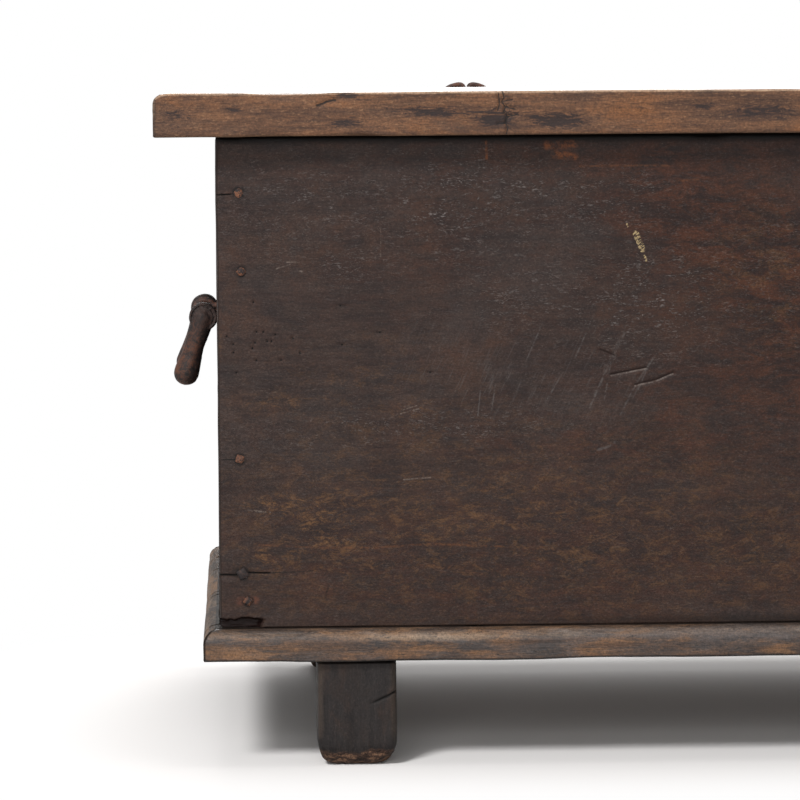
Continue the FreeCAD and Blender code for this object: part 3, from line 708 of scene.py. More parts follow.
def near_line(places, line, width):
    """From 1 on a broken line through (X, Z) corners to 0 away from it, a bell curve of the distance."""
    flat = places[:, [0, 2]]
    nearest = np.full(len(flat), 1.0)
    for start, stop in zip(np.array(line[:-1]), np.array(line[1:])):
        run = stop - start
        share = np.clip((flat - start) @ run / (run @ run), 0, 1)
        nearest = np.minimum(nearest, np.linalg.norm(flat - start - share[:, None] * run, axis=1))
    return np.exp(-(nearest / width) ** 2)


def lines_on(wood, shapes):
    """From 1 on broken lines, each (corners, width), to 0 a width away, by the distance to each stretch."""
    flat = wood.node("VectorMath", {0: wood.place, 1: (1, 0, 1)}, operation="MULTIPLY")
    total = 0.0
    for corners, width in shapes:
        for (x, z), (next_x, next_z) in zip(corners[:-1], corners[1:]):
            run = Vector((next_x - x, 0, next_z - z))
            per_run = run / run.length_squared
            from_start = wood.node("VectorMath", {0: flat, 1: (x, 0, z)}, operation="SUBTRACT")
            share = wood.node("VectorMath", {0: from_start, 1: per_run}, 1, operation="DOT_PRODUCT")
            share = wood.most(wood.node("Math", {0: share, 1: 1.0}, operation="MINIMUM"), 0.0)
            reached = wood.node("VectorMath", {0: run, "Scale": share}, operation="SCALE")
            gap = wood.node("VectorMath", {0: from_start, 1: reached}, 1, operation="DISTANCE")
            total = wood.most(total, wood.band(gap, width, 0.25 * width))
    return total


def dots_on(wood, place, spots):
    """From 1 on round spots, each (X, Z, inner radius, outer radius), to 0 outside them."""
    total = 0.0
    for x, z, inner, outer in spots:
        away = wood.node("VectorMath", {0: place, 1: (x, 0, z)}, 1, operation="DISTANCE")
        total = wood.most(total, wood.band(away, outer, inner))
    return total


def bare_inside(wood, axis, dark, light):
    """Lays bare wood, drawn out into long wavering streaks, on faces marked as inside."""
    streaks = wood.patch(0.36, 0.66, along_grain(axis, 2.2, 70), 7, 0.66, 0.5, (4, 6, 8))
    bare = wood.mix(streaks, tone(*dark), tone(*light))
    wood.colour = wood.mix(wood.band(wood.marked("inside"), 0.2, 0.7), wood.colour, bare)


def plank_finish(name, axis):
    """Dark lacquer over brown wood: red and golden zones worn through it, a grey bloom, patches wrinkled into
    fine curling lines painted as pale lit crests and dark shaded furrows, bare wood on the edges and inside,
    dark broken wood in the chip darkened further as painted shade, and near-black laid as painted shadow
    under the lid and painted shade above the rail, on the side edges and in stains."""
    wood = Wood(name, axis, (34, 26, 25), (55, 42, 37), (60, 42, 34), 0.5, 0.14, 0.3)
    planed = wood.patch(0.5, 0.68, along_grain(axis, 150, 20), 5, 0.7, 0.2, (3, 3, 3))
    wood.lay(wood.times(planed, 0.3), (36, 29, 28))
    wood.lay(wood.times(wood.marked("red"), 0.95), (31, 20, 18))
    bare = wood.patch(0.41, 0.64, along_grain(axis, 34, 95), 9, 0.8, 0.6, (5, 2, 7))
    red = wood.times(wood.plus(wood.marked("red"), 0.12), bare)
    wood.lay(wood.times(red, 0.8), (72, 41, 27))
    bloom = wood.patch(0.47, 0.62, (9, 9, 14), 9, 0.72, 0.4, (1, 3, 8))
    worn_off = wood.span(wood.plus(wood.marked("golden"), wood.marked("red")), 0.4, 0.05)
    wood.lay(wood.times(bloom, worn_off), (56, 49, 47))
    flaked = wood.patch(0.48, 0.62, along_grain(axis, 62, 125), 9, 0.88, 0.5, (6, 1, 3))
    wood.lay(wood.times(flaked, wood.marked("golden")), (96, 68, 44))
    bare_inside(wood, axis, (78, 56, 41), (112, 84, 61))
    wood.grain((88, 77, 70), 0.3, 0.45)
    # Painted highlight and shade: pale crests and dark furrows stand for light and shade on the wrinkled
    # lacquer, whose crests the bump also raises
    curl = wood.noise(along_grain(axis, 220, 860), 2, 0.5, 1.6, (4, 4, 1))
    broken = wood.patch(0.43, 0.56, (70, 70, 130), 9, 0.8, 0.6, (4, 4, 1))
    broken = wood.times(broken, wood.marked("scuffed"))
    lit_wrinkle_crests = wood.times(wood.band(curl, 0.54, 0.64), broken)
    wood.lay(wood.times(lit_wrinkle_crests, 0.7), (120, 113, 110))
    shaded_furrows = wood.times(wood.band(curl, 0.47, 0.39), broken)
    wood.lay(wood.times(shaded_furrows, 0.4), (22, 18, 18))
    wood.height = wood.plus(wood.height, wood.times(lit_wrinkle_crests, 0.6))
    wood.wear("rubbed", (86, 70, 61), 0.2)
    # Dark broken wood in the chip, darkened further as painted shade for the recess
    wood.wear("broken", (25, 11, 8), 1.0)
    wood.gritty(0.3)
    # Near-black where marked: painted shadow under the lid, painted shade just above the rail, darker side
    # edges, and dark stains
    wood.lay(wood.marked("hollow"), (10, 7, 6))
    return wood


def front_finish():
    """The plank finish with the front's own marks: hatching, scrapes, scratches, grain lines, gouges with a
    painted shaded upper side and a painted lit lower side, splits, drips, a dab of cream paint, worm holes
    and a ring of painted shade round each nail head."""
    wood = plank_finish("front_plank_wood", "X")
    hatch = wood.patch(0.53, 0.7, (45, 600, 600), 4, 0.65, 0.0, (0, 0, 0), (0, math.radians(65), 0))
    wood.lay(wood.times(wood.times(hatch, wood.marked("hatched")), 0.36), (90, 84, 82))
    patchy = wood.patch(0.4, 0.62, (210, 210, 210), 5, 0.75)
    dripped = wood.patch(0.42, 0.6, (120, 120, 120), 6, 0.75)
    # Painted shade on the upper side of each gouge and a painted highlight on the lower side
    shaded_gouge_sides = [([(x, z + GOUGE_SIDE) for x, z in corners], GOUGE_SHADE_WIDTH) for corners in GOUGES]
    lit_gouge_sides = [([(x, z - GOUGE_SIDE) for x, z in corners], GOUGE_HIGHLIGHT_WIDTH) for corners in GOUGES[:2]]
    for shapes, amount, colour in (
            (SOFT_SCRAPES, wood.times(patchy, 0.42), (92, 87, 85)),
            (SHARP_SCRATCHES, wood.times(patchy, 0.7), (112, 100, 92)),
            (GRAIN_LINES, wood.times(patchy, 0.5), (98, 62, 40)),
            (shaded_gouge_sides, 0.9, (28, 16, 13)),
            (lit_gouge_sides, wood.span(patchy, 0.1, 0.85), (104, 94, 88)),
            (SPLITS, 1.0, (8, 6, 5)),
            (SPLIT_TAILS, wood.span(patchy, 0.25, 0.85), (14, 11, 10)),
            (TORN_NAIL, wood.span(patchy, 0.3, 0.9), (86, 54, 42)),
            (DRIPS, wood.times(dripped, 0.8), (116, 68, 40))):
        wood.lay(wood.times(lines_on(wood, shapes), amount), colour)
    flake = wood.patch(0.4, 0.6, (260, 260, 900), 5, 0.75, 0.6, (3, 0, 0), (0, math.radians(35), 0))
    cream = wood.band(wood.times(lines_on(wood, CREAM_PAINT), flake), 0.36, 0.5)
    wood.lay(wood.times(cream, 0.92), (158, 138, 102))
    flat = wood.node("VectorMath", {0: wood.place, 1: (1, 0, 1)}, operation="MULTIPLY")
    holes = [(x, z, 0.5 * WORM_HOLE, WORM_HOLE) for x, z in WORM_HOLES]
    wood.lay(dots_on(wood, flat, holes), (6, 5, 5))
    # Painted shade: a broken dark ring round each nail head for the shadow in the gap round it
    mirrored = wood.node("VectorMath", {0: flat}, operation="ABSOLUTE")
    heads = [(front_high.x - inset, z, 0.55 * head, 0.95 * head)
             for inset, z, head in zip(NAIL_INSETS, NAIL_HEIGHTS, NAIL_HEADS)]
    ring_breakup = wood.patch(0.36, 0.55, (240, 240, 240), 3, 0.6)
    wood.lay(wood.times(wood.times(dots_on(wood, mirrored, heads), ring_breakup), 0.9), (12, 9, 8))
    return wood.done(0.42, 0.68, PLANK_DEPTH)


front_low, front_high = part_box("front_plank")
front = plank("worn_front_plank", "front_plank", "XYZ",
              (PLANK_FOOT_ROUND, PLANK_INNER_ROUND, PLANK_INNER_ROUND, PLANK_ROUND),
              ((0.004,), (0.012,), (0.004,), (FRONT_STEP, *FRONT_CLOSE_UP)),
              PLANK_ROUND, FRONT_STEP, front_finish(), FRONT_CLOSE_ALONG)
places, normals = points_of(front)
facing = step_up(-normals[:, 1], 0.2, 0.8)
wave = FRONT_WAVE * rough(places, (5, 5, 9), 101) + FRONT_FIBRE * rough(places, (9, 40, 110), 103)
nicked = step_up(rough(places, (45, 45, 45), 105, 2), 0.35, 1)
nicks = FRONT_NICK * edge_nearness(places, front_low, front_high, 0.003) * nicked
worm = np.zeros(len(places))
for hole_x, hole_z in WORM_HOLES:
    from_hole = np.linalg.norm(places - (hole_x, front_low.y, hole_z), axis=1)
    from_point = (places - places[np.argmin(from_hole)])[:, [0, 2]]
    worm += np.exp(-np.sum(from_point ** 2, axis=1) / (0.8 * WORM_HOLE) ** 2)
split = sum(near_line(places, line, 0.5 * width) for line, width in SPLITS)
gouge = sum(near_line(places, line, GOUGE_WIDTH) for line in GOUGES)
chip_top = front_low.z + CHIP_HEIGHT + CHIP_TOP_RAGGED * rough(places, (170, 0, 0), 107)
chip_end = front_low.x + CHIP_LENGTH + CHIP_END_RAGGED * rough(places, (0, 0, 300), 109)
chip = step_up(chip_top - places[:, 2], 0, 0.0016) * step_up(chip_end - places[:, 0], 0, 0.007)
chip_back = front_low.y + CHIP_DEPTH * chip + CHIP_BACK_RAGGED * chip * rough(places, (60, 0, 500), 108)
move = normals * (wave - nicks)[:, None]
move[:, 1] += facing * (WORM_DEPTH * worm + SPLIT_DEPTH * split + GOUGE_DEPTH * gouge)
move[:, 1] = np.maximum(places[:, 1] + move[:, 1], np.where(chip > 0, chip_back, -1)) - places[:, 1]
shift(front, move)
lid_shade = places[:, 2] + 0.0006 * rough(places, (20, 0, 0), 110)
lid_shade = step_up(lid_shade, front_high.z - 0.0045, front_high.z - 0.0028)
side_edge = step_up(np.abs(places[:, 0]), front_high.x - 0.0022, front_high.x - 0.0008)
# Painted shade: a dark band just above the rail, stronger towards the right
rail_line_shade = step_up(front_low.z + 0.009 - places[:, 2], 0, 0.006)
rail_line_shade = rail_line_shade * (0.06 + 0.46 * step_up(places[:, 0], -0.38, -0.14))
split_nail = ((NAIL_INSETS[3] - front_high.x, NAIL_HEIGHTS[3], 0.009, 0.006, 0.85),)
nail_dirt = patches(places, split_nail) * step_up(rough(places, (90, 90, 200), 112), -0.5, 0.6)
mark(front, rubbed=edge_nearness(places, front_low, front_high, 0.0022),
     inside=1.4 * step_up(normals[:, 1], 0.3, 0.8),
     # Chip: broken wood, darkened also as painted shade
     broken=1.3 * chip,
     # Painted shadow under the lid and painted shade above the rail, with darker side edges and a stain round
     # the split nail
     hollow=facing * (0.9 * lid_shade + 0.8 * side_edge + rail_line_shade + nail_dirt) + 0.45 * lid_shade,
     red=patches(places, RED_ZONES),
     golden=patches(places, GOLDEN_ZONES),
     scuffed=0.1 + patches(places, SCUFFED_ZONES),
     hatched=patches(places, HATCHED_ZONES))
belongs(front, "chest", "front_plank")

# Back plank
# The twin of the front plank, nailed over the end planks behind, with slots for the two hinge wires.
# It stood against walls, so its lacquer is duller and dustier than the front's, with fewer scuffs.

BACK_WAVE = 0.0005
BACK_FIBRE = 0.0002
BACK_NICK = 0.0014
BACK_STEP = 0.0045

back_low, back_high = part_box("back_plank")
back = plank("worn_back_plank", "back_plank", "XYZ",
             (PLANK_INNER_ROUND, PLANK_FOOT_ROUND, PLANK_ROUND, PLANK_INNER_ROUND),
             ((0.004,), (BACK_STEP,), (0.004,), (0.012,)), PLANK_ROUND, BACK_STEP,
             plank_finish("back_plank_wood", "X").done(0.55, 0.8, PLANK_DEPTH))
places, normals = points_of(back)
wave = BACK_WAVE * rough(places, (5, 5, 9), 111) + BACK_FIBRE * rough(places, (9, 40, 90), 113)
nicked = step_up(rough(places, (40, 40, 40), 115, 2), 0.3, 1)
nicks = BACK_NICK * edge_nearness(places, back_low, back_high, 0.003) * nicked
shift(back, normals * (wave - nicks)[:, None])
mark(back, rubbed=edge_nearness(places, back_low, back_high, 0.0025),
     inside=1.4 * step_up(-normals[:, 1], 0.3, 0.8),
     red=0.5 + 0.5 * rough(places, (4, 4, 6), 117),
     golden=0.4 * rough(places, (3, 3, 5), 118),
     scuffed=0.35 + 0.4 * rough(places, (5, 5, 9), 119))
belongs(back, "chest", "back_plank")

# End planks
# Two boards between the front and back planks, their grain running from front to back, each drilled for
# the two eyebolts of its handle. The swinging handle has rubbed the lacquer below its pivot.

END_WAVE = 0.0004
END_FIBRE = 0.0002
END_STEP = 0.0045
HANDLE_RUB_LEVEL = 0.275
HANDLE_RUB_WIDE = 0.07
HANDLE_RUB_TALL = 0.03

end_wood = plank_finish("end_plank_wood", "Y").done(0.45, 0.72, PLANK_DEPTH)
for number, (side, outward) in enumerate((("left", -1), ("right", 1))):
    end_low, end_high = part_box(side + "_end_plank")
    end = plank("worn_end_plank_" + side, side + "_end_plank", "YXZ", (PLANK_INNER_ROUND,) * 4,
                ((0.005,), (END_STEP,)) * 2, PLANK_INNER_ROUND, END_STEP, end_wood)
    places, normals = points_of(end)
    wave = END_WAVE * rough(places, (5, 5, 9), 121 + number)
    wave = wave + END_FIBRE * rough(places, (40, 9, 90), 124 + number)
    shift(end, normals * wave[:, None])
    below_pivot = (places[:, 2] - HANDLE_RUB_LEVEL) / HANDLE_RUB_TALL
    swung = np.exp(-(places[:, 1] / HANDLE_RUB_WIDE) ** 2 - below_pivot ** 2)
    mark(end, rubbed=edge_nearness(places, end_low, end_high, 0.002) + 0.6 * swung,
         inside=1.4 * step_up(-outward * normals[:, 0], 0.3, 0.8),
         red=0.5 + 0.5 * rough(places, (4, 4, 6), 127 + number),
         golden=0.5 * rough(places, (3, 3, 5), 130 + number),
         scuffed=0.4 + 0.4 * rough(places, (5, 5, 9), 133 + number) + swung)
    belongs(end, "chest", side + "_end_plank")

# Bottom plank
# One bare board lying on the rails inside the box, nailed down into them. It was never lacquered: plain
# brown wood, dry and dusty, darker towards the walls.

BOTTOM_WAVE = 0.0006
BOTTOM_FIBRE = 0.00025
BOTTOM_STEP = 0.006


def bare_finish(name, axis):
    """Unfinished old wood: dry brown fibres with grey dust and dark patches where marked."""
    wood = Wood(name, axis, (70, 50, 36), (116, 88, 64), (92, 64, 44))
    dust = wood.patch(0.5, 0.66, (12, 12, 12), 8, 0.7, 0.5, (9, 4, 1))
    wood.lay(wood.times(dust, 0.35), (130, 114, 97))
    wood.wear("rubbed", (144, 115, 88), 0.5)
    wood.wear("grime", (48, 34, 26), 0.8)
    wood.grain((150, 122, 96), 0.35, 0.6)
    return wood.done(0.65, 0.9, 0.0007)


bottom_low, bottom_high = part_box("bottom_plank")
bottom = plank("bare_bottom_plank", "bottom_plank", "XYZ", (PLANK_INNER_ROUND,) * 4,
               ((BOTTOM_STEP,), (0.005,), (0.005,), (0.005,)), PLANK_INNER_ROUND, BOTTOM_STEP,
               bare_finish("bottom_plank_wood", "X"))
places, normals = points_of(bottom)
wave = BOTTOM_WAVE * rough(places, (5, 9, 9), 141) + BOTTOM_FIBRE * rough(places, (9, 90, 90), 143)
shift(bottom, normals * wave[:, None])
mark(bottom, rubbed=0.3 * step_up(rough(places, (6, 6, 6), 145), 0, 1),
     grime=edge_nearness(places, bottom_low, bottom_high, 0.03))
belongs(bottom, "chest", "bottom_plank")

# Lid plank
# One thick board of lighter brown wood that stands past the box all round, swinging on the two hinges.
# Its top edges are worn round and pale, the pale partly a painted highlight on the rounding, its front edge
# shows dark knots and drying cracks, and it has bowed.

LID_TOP_ROUND = 0.0018
LID_LOWER_ROUND = 0.002
LID_END_ROUND = 0.0015
LID_END_RUN = 0.0120
LID_END_FALL = 0.0072
LID_BOW = 0.0011
LID_DROP = 0.0003
LID_WAVE = 0.0004
LID_FIBRE = 0.00015
LID_NICK = 0.0013
LID_STEP = 0.0038
LID_SLIT_WIDTH = 0.0013
LID_SLIT_OPEN = 0.0010
LID_CRACK_WIDTH = 0.0007
LID_CRACK_DEPTH = 0.0014
LID_KNOT_DEPTH = 0.0004
# Cracks through (X, Z) corners, and zones, each (X, Z, half width, half height, amount)
LID_SLIT = ((-0.4255, 0.4905), (-0.4215, 0.4916), (-0.4185, 0.4932), (-0.4125, 0.4942))
LID_CRACKS = (
    ((-0.2905, 0.4995), (-0.2895, 0.4955), (-0.2912, 0.4925), (-0.2885, 0.4885), (-0.2898, 0.4852),
     (-0.2868, 0.4815), (-0.2885, 0.477), (-0.2868, 0.4735), (-0.2878, 0.469)),
    ((-0.2912, 0.4925), (-0.2835, 0.4938)), ((-0.2885, 0.4885), (-0.2815, 0.4868)),
    ((-0.2868, 0.4815), (-0.2792, 0.4832)), ((-0.2885, 0.477), (-0.2945, 0.4762)),
    ((-0.2935, 0.498), (-0.2928, 0.4905), (-0.2942, 0.486)))
LID_KNOTS = (
    (-0.405, 0.498, 0.010, 0.003, 1.0), (-0.406, 0.478, 0.013, 0.0035, 0.9),
    (-0.345, 0.4855, 0.034, 0.0045, 0.8), (-0.287, 0.484, 0.006, 0.014, 0.4),
    (-0.300, 0.4795, 0.012, 0.006, 0.9), (-0.25, 0.4785, 0.024, 0.0055, 1.0),
    (-0.098, 0.4835, 0.034, 0.006, 0.8), (-0.145, 0.488, 0.008, 0.003, 0.7),
    (-0.53, 0.484, 0.010, 0.007, 0.6), (-0.487, 0.487, 0.006, 0.004, 0.6), (0.16, 0.48, 0.03, 0.006, 0.9),
    (0.33, 0.487, 0.02, 0.005, 0.8), (0.06, 0.49, 0.04, 0.003, 0.6))
LID_CRAZED = (
    (-0.287, 0.486, 0.007, 0.012, 1.0), (-0.53, 0.484, 0.012, 0.008, 0.5), (-0.25, 0.480, 0.02, 0.006, 0.5),
    (-0.35, 0.486, 0.025, 0.005, 0.5), (0.16, 0.482, 0.02, 0.008, 0.7))


def lid_finish():
    """Waxed orange-brown wood with dark knots of ragged streaks and fine cracks, pale along the edges from
    wear and a painted highlight, with dark chips and end rims, its top polished by use."""
    wood = Wood("lid_wood", "X", (62, 41, 30), (110, 75, 51), (113, 72, 42), 0.48, 0.33, 0.55, 7)
    spot = wood.node("Mapping", {"Vector": wood.place, "Scale": (1.6, 30, 30)})
    rings = wood.node("TexWave", {"Vector": spot, "Scale": 1.0, "Distortion": 7.0, "Detail": 4.0,
                                  "Detail Scale": 1.3, "Detail Roughness": 0.65}, 1, bands_direction="Y")
    rings = wood.times(wood.band(rings, 0.35, 0.9), wood.marked("top"))
    wood.lay(wood.times(rings, 0.55), (62, 40, 29))
    grey = wood.patch(0.5, 0.64, (14, 40, 60), 9, 0.75, 0.6, (2, 8, 3))
    wood.lay(wood.times(grey, 0.45), (74, 55, 44))
    # Pale edges: wear, and a painted highlight along the rounded top arris and ends
    wood.wear("rubbed", (172, 143, 118), 0.75)
    bare_inside(wood, "X", (76, 55, 41), (108, 80, 58))
    wood.grain((146, 110, 80), 0.45, 0.7)
    streak = wood.noise((70, 330, 330), 8, 0.75, 1.4)
    dark = wood.plus(wood.times(wood.marked("knot"), 0.27), streak)
    wood.lay(wood.times(wood.band(dark, 0.59, 0.65), 0.6), (52, 34, 28))
    wood.lay(wood.times(wood.band(dark, 0.65, 0.69), 0.85), (24, 14, 14))
    edges = wood.node("TexVoronoi", {"Vector": wood.place, "Scale": 260.0}, feature="DISTANCE_TO_EDGE")
    crazed = wood.times(wood.band(edges, 0.12, 0.03), wood.marked("crazed"))
    wood.lay(wood.times(crazed, wood.band(wood.speck, 0.4, 0.55)), (20, 13, 12))
    cracks = [(LID_SLIT, LID_SLIT_WIDTH)] + [(corners, LID_CRACK_WIDTH) for corners in LID_CRACKS]
    crack = wood.times(lines_on(wood, cracks), wood.marked("facing"))
    wood.lay(wood.times(crack, wood.span(wood.flecks, 0.2, 1.6)), (14, 10, 9))
    # Near-black where marked: dark chips along the top front edge and a dark rim at each end
    wood.lay(wood.marked("hollow"), (16, 11, 9))
    wood.gritty(0.33)
    return wood.done(0.6, 0.8, 0.0010, wood.span(wood.marked("polished"), 1.0, 0.36))


lid_low, lid_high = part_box("lid_plank")
lid = plank("worn_lid_plank", "lid_plank", "XYZ",
            (LID_LOWER_ROUND, LID_LOWER_ROUND, LID_TOP_ROUND, LID_TOP_ROUND),
            ((0.009,), (0.003,), (0.0055, (lid_low.y, lid_low.y + 0.02, 0.0022)), (0.0013,)),
            LID_END_ROUND, LID_STEP, lid_finish(),
            ((lid_low.x, lid_low.x + LID_END_RUN, 0.001), (-0.43, -0.39, 0.0014), (-0.30, -0.276, 0.001),
             (lid_high.x - LID_END_RUN, lid_high.x, 0.001)))
places, normals = points_of(lid)
facing = step_up(-normals[:, 1], 0.2, 0.8)
wave = LID_WAVE * rough(places, (5, 9, 9), 151) + LID_FIBRE * rough(places, (9, 100, 100), 153)
near_edge = edge_nearness(places, lid_low, lid_high, 0.005)
nicks = LID_NICK * near_edge * step_up(rough(places, (30, 60, 60), 155, 2), 0.35, 1)
knots = patches(places, LID_KNOTS)
crack = near_line(places, LID_SLIT, LID_SLIT_OPEN)
crack = crack + sum(near_line(places, line, LID_CRACK_WIDTH) for line in LID_CRACKS)
move = normals * (wave - nicks)[:, None]
move[:, 1] += facing * (LID_CRACK_DEPTH * crack + LID_KNOT_DEPTH * knots)
bow = np.cos(places[:, 0] * math.pi / (lid_high.x - lid_low.x)) ** 2
near_end = np.clip((np.abs(places[:, 0]) - lid_high.x) / LID_END_RUN + 1, 0, 1)
fall = LID_END_FALL * (1 - np.sqrt(1 - near_end ** 2))
fall = fall * (places[:, 2] - lid_low.z) / (lid_high.z - lid_low.z)
move[:, 2] += LID_BOW * bow - LID_DROP - fall
shift(lid, move)
top_knots = step_up(rough(places, (6, 22, 0), 157), 0.85, 1.3) * step_up(normals[:, 2], 0.3, 0.8)
chipped = step_up(rough(places, (55, 55, 55), 158, 2), 0.1, 0.9) * near_edge * facing
chipped = chipped * step_up(places[:, 2], lid_high.z - 0.006, lid_high.z)
end_rim = step_up(np.abs(places[:, 0]), lid_high.x - 0.0032, lid_high.x - 0.0014)
upper = step_up(places[:, 2], lid_low.z, lid_high.z)
# Edge mark: wear and a painted highlight along the upper edges
mark(lid, rubbed=edge_nearness(places, lid_low, lid_high, 0.0018) * upper,
     inside=1.4 * step_up(-normals[:, 2], 0.3, 0.8),
     knot=facing * knots + top_knots,
     facing=facing,
     crazed=facing * patches(places, LID_CRAZED),
     top=step_up(np.abs(normals[:, 2]), 0.5, 0.9),
     polished=step_up(normals[:, 2], 0.6, 0.97) * (near_end < 0.5),
     hollow=0.8 * chipped + 0.6 * end_rim)
belongs(lid, "lid", "lid_plank")

# Lid battens
# Two bare strips nailed across the underside of the lid, just inside the box, that keep it flat.
# Their lower edges are eased so that they don't catch the cloth stored below.

BATTEN_ROUND = 0.003
BATTEN_END_ROUND = 0.002
BATTEN_WAVE = 0.0004
BATTEN_FIBRE = 0.0002
BATTEN_STEP = 0.003

batten_wood = bare_finish("batten_wood", "Y")
for number, side in enumerate(("left", "right")):
    batten_low, batten_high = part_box("lid_batten_" + side)
    batten = plank("bare_batten_" + side, "lid_batten_" + side, "YXZ",
                   (BATTEN_ROUND, BATTEN_ROUND, PLANK_INNER_ROUND, PLANK_INNER_ROUND),
                   ((BATTEN_STEP,),) * 4, BATTEN_END_ROUND, BATTEN_STEP, batten_wood)
    places, normals = points_of(batten)
    wave = BATTEN_WAVE * rough(places, (20, 6, 20), 161 + number)
    wave = wave + BATTEN_FIBRE * rough(places, (160, 12, 160), 164 + number)
    shift(batten, normals * np.where(places[:, 2] > batten_high.z - 1e-4, 0, wave)[:, None])
    mark(batten, rubbed=edge_nearness(places, batten_low, batten_high, 0.003),
         grime=0.4 * step_up(rough(places, (12, 12, 12), 167 + number), 0, 1))
    belongs(batten, "lid", "lid_batten_" + side)

# Forged nails
# Square iron nails with low rose heads hammered to four facets, rusted brown: down the edges of the front
# and back planks, up through the rails, down through the bottom plank and up through the battens.

NAIL_HEAD = 0.0076
NAIL_PROFILE = ((-0.016, 0.10), (-0.0006, 0.26), (-0.0003, 0.44), (0.0001, 0.5), (0.0004, 0.48),
                (0.0009, 0.36), (0.0013, 0.22), (0.0015, 0.12))
NAIL_CORNERS = (0.35, 0.4, 0.85, 1.0, 0.7)
NAIL_RUST = (0.95, 0.95, 0.5, 0.15, 0.6)
LONG_RAIL_NAILS = ((-0.3, 0, 0.3), (-0.2235, 0.2235))
SHORT_RAIL_NAILS = ((-0.484, 0.484), (-0.11, 0.11))
BOTTOM_NAILS = ((-0.28, 0, 0.28), (-0.1855, 0.1855))
BATTEN_NAILS = ((-0.335, 0.335), (-0.15, 0, 0.15))


def forged_nail(place, out, head, number):
    """A nail about its own axis: a square with softened corners, its half width following the profile in
    shares of the head, each ring nudged by seeded hammer blows, then stood on its place facing out."""
    chance = np.random.default_rng(300 + number)
    angle = np.linspace(0, 2 * np.pi, 24, endpoint=False)
    corner = NAIL_CORNERS[number % len(NAIL_CORNERS)]
    square = 1 / np.maximum(np.abs(np.cos(angle)), np.abs(np.sin(angle))) ** corner
    profile = np.array(NAIL_PROFILE)
    radius = profile[:, 1:] * head * square * (1 + chance.normal(0, 0.035, (len(profile), 1)))
    turn = angle + np.pi / 4 + chance.normal(0, 0.2)
    drift = chance.normal(0, 0.00012, (len(profile), 2))
    across = np.stack([radius * np.cos(turn) + drift[:, :1], radius * np.sin(turn) + drift[:, 1:]], -1)
    lift = profile[:, :1] * chance.uniform(0.75, 1.05) + chance.normal(0, 0.00005, radius.shape)
    out = np.array(out, float)
    side = np.roll(out, 1)
    other = np.cross(out, side)
    return skin(np.array(place) + across[..., :1] * side + across[..., 1:] * other + lift[..., None] * out)


def edge_nails(face_y, out, heads):
    """Nails down both edges of the front or back plank, each (place, direction out, head)."""
    return [((side * (front_high.x - inset), face_y, z), out, head) for side in (-1, 1)
            for inset, z, head in zip(NAIL_INSETS, NAIL_HEIGHTS, heads)]


def nail_rows(rows, level, out):
    """Nails at every X and Y of some rows on a level face."""
    return [((x, y, level), out, NAIL_HEAD) for x in rows[0] for y in rows[1]]


def iron_finish(name, dark, light, rust, gloss, rust_mark=None):
    """Forged iron under old rust: dark scale, red-brown rust in patches and pits, and a dull handled sheen.
    Where the points carry a rust mark, it sets how far the rust has gone; a dark mark lays painted shade."""
    iron = Finish(name, 0.35)
    iron.shader.inputs["Metallic"].default_value = 0.15
    patch = iron.noise((95, 95, 95), 8, 0.72, 0.6)
    grit = iron.noise((800, 800, 800), 4, 0.65)
    iron.colour = iron.mix(iron.band(patch, 0.38, 0.64), tone(*dark), tone(*light))
    rusted = iron.band(iron.weigh(patch, 0.6, grit, 0.45), 0.48, 0.62)
    iron.lay(iron.times(rusted, iron.marked(rust_mark) if rust_mark else 0.75), rust)
    # Painted shade where the points are marked
    iron.lay(iron.times(iron.marked("grime"), 0.7), (20, 15, 15))
    scale = iron.noise((260, 260, 260), 4, 0.6)
    roughness = iron.span(iron.weigh(scale, 0.5, grit, 0.5), *gloss)
    return iron.close(roughness, iron.weigh(scale, 0.6, grit, 0.4), 0.0005)


nail_iron = iron_finish("nail_iron", (30, 25, 25), (52, 42, 40), (140, 90, 62), (0.6, 0.9), "rust")
up, down = (0, 0, 1), (0, 0, -1)
nail_groups = {
    "front_nails": edge_nails(front_low.y, (0, -1, 0), NAIL_HEADS),
    "back_nails": edge_nails(back_high.y, (0, 1, 0), (NAIL_HEAD,) * len(NAIL_INSETS)),
    "rail_nails": (nail_rows(LONG_RAIL_NAILS, rail_low.z, down)
                   + nail_rows(SHORT_RAIL_NAILS, rail_low.z, down)),
    "bottom_nails": nail_rows(BOTTOM_NAILS, bottom_high.z, up),
    "batten_nails": nail_rows(BATTEN_NAILS, batten_low.z, down)}
nail_number = 0
for group, nails in nail_groups.items():
    skins = []
    for place, out, head in nails:
        skins.append(forged_nail(place, out, head, nail_number))
        nail_number += 1
    nails_made = make("forged_" + group, skins, nail_iron)
    shares = np.tile(NAIL_RUST, len(nails))[:len(nails)]
    mark(nails_made, rust=np.repeat(shares, len(skins[0][0])))
    belongs(nails_made, "lid" if group == "batten_nails" else "chest", group)

# Loop hinges
# Each hinge is two iron wires bent into eyes and linked. One passes up through the lid, the other through
# the back plank, and the ends of both are hammered apart and over, so they taper into the wood.

HINGE_X = 0.287
HINGE_WIRE = 0.0045
HINGE_EYE = 0.00625
HINGE_STANDOFF = 0.009
LID_REACH = 0.0187
BACK_REACH = 0.0125
LEG_GAP = 0.0002
NECK_BEND = 0.003
CLINCH_BEND = 0.0032
WIRE_BUMPS = 0.00012


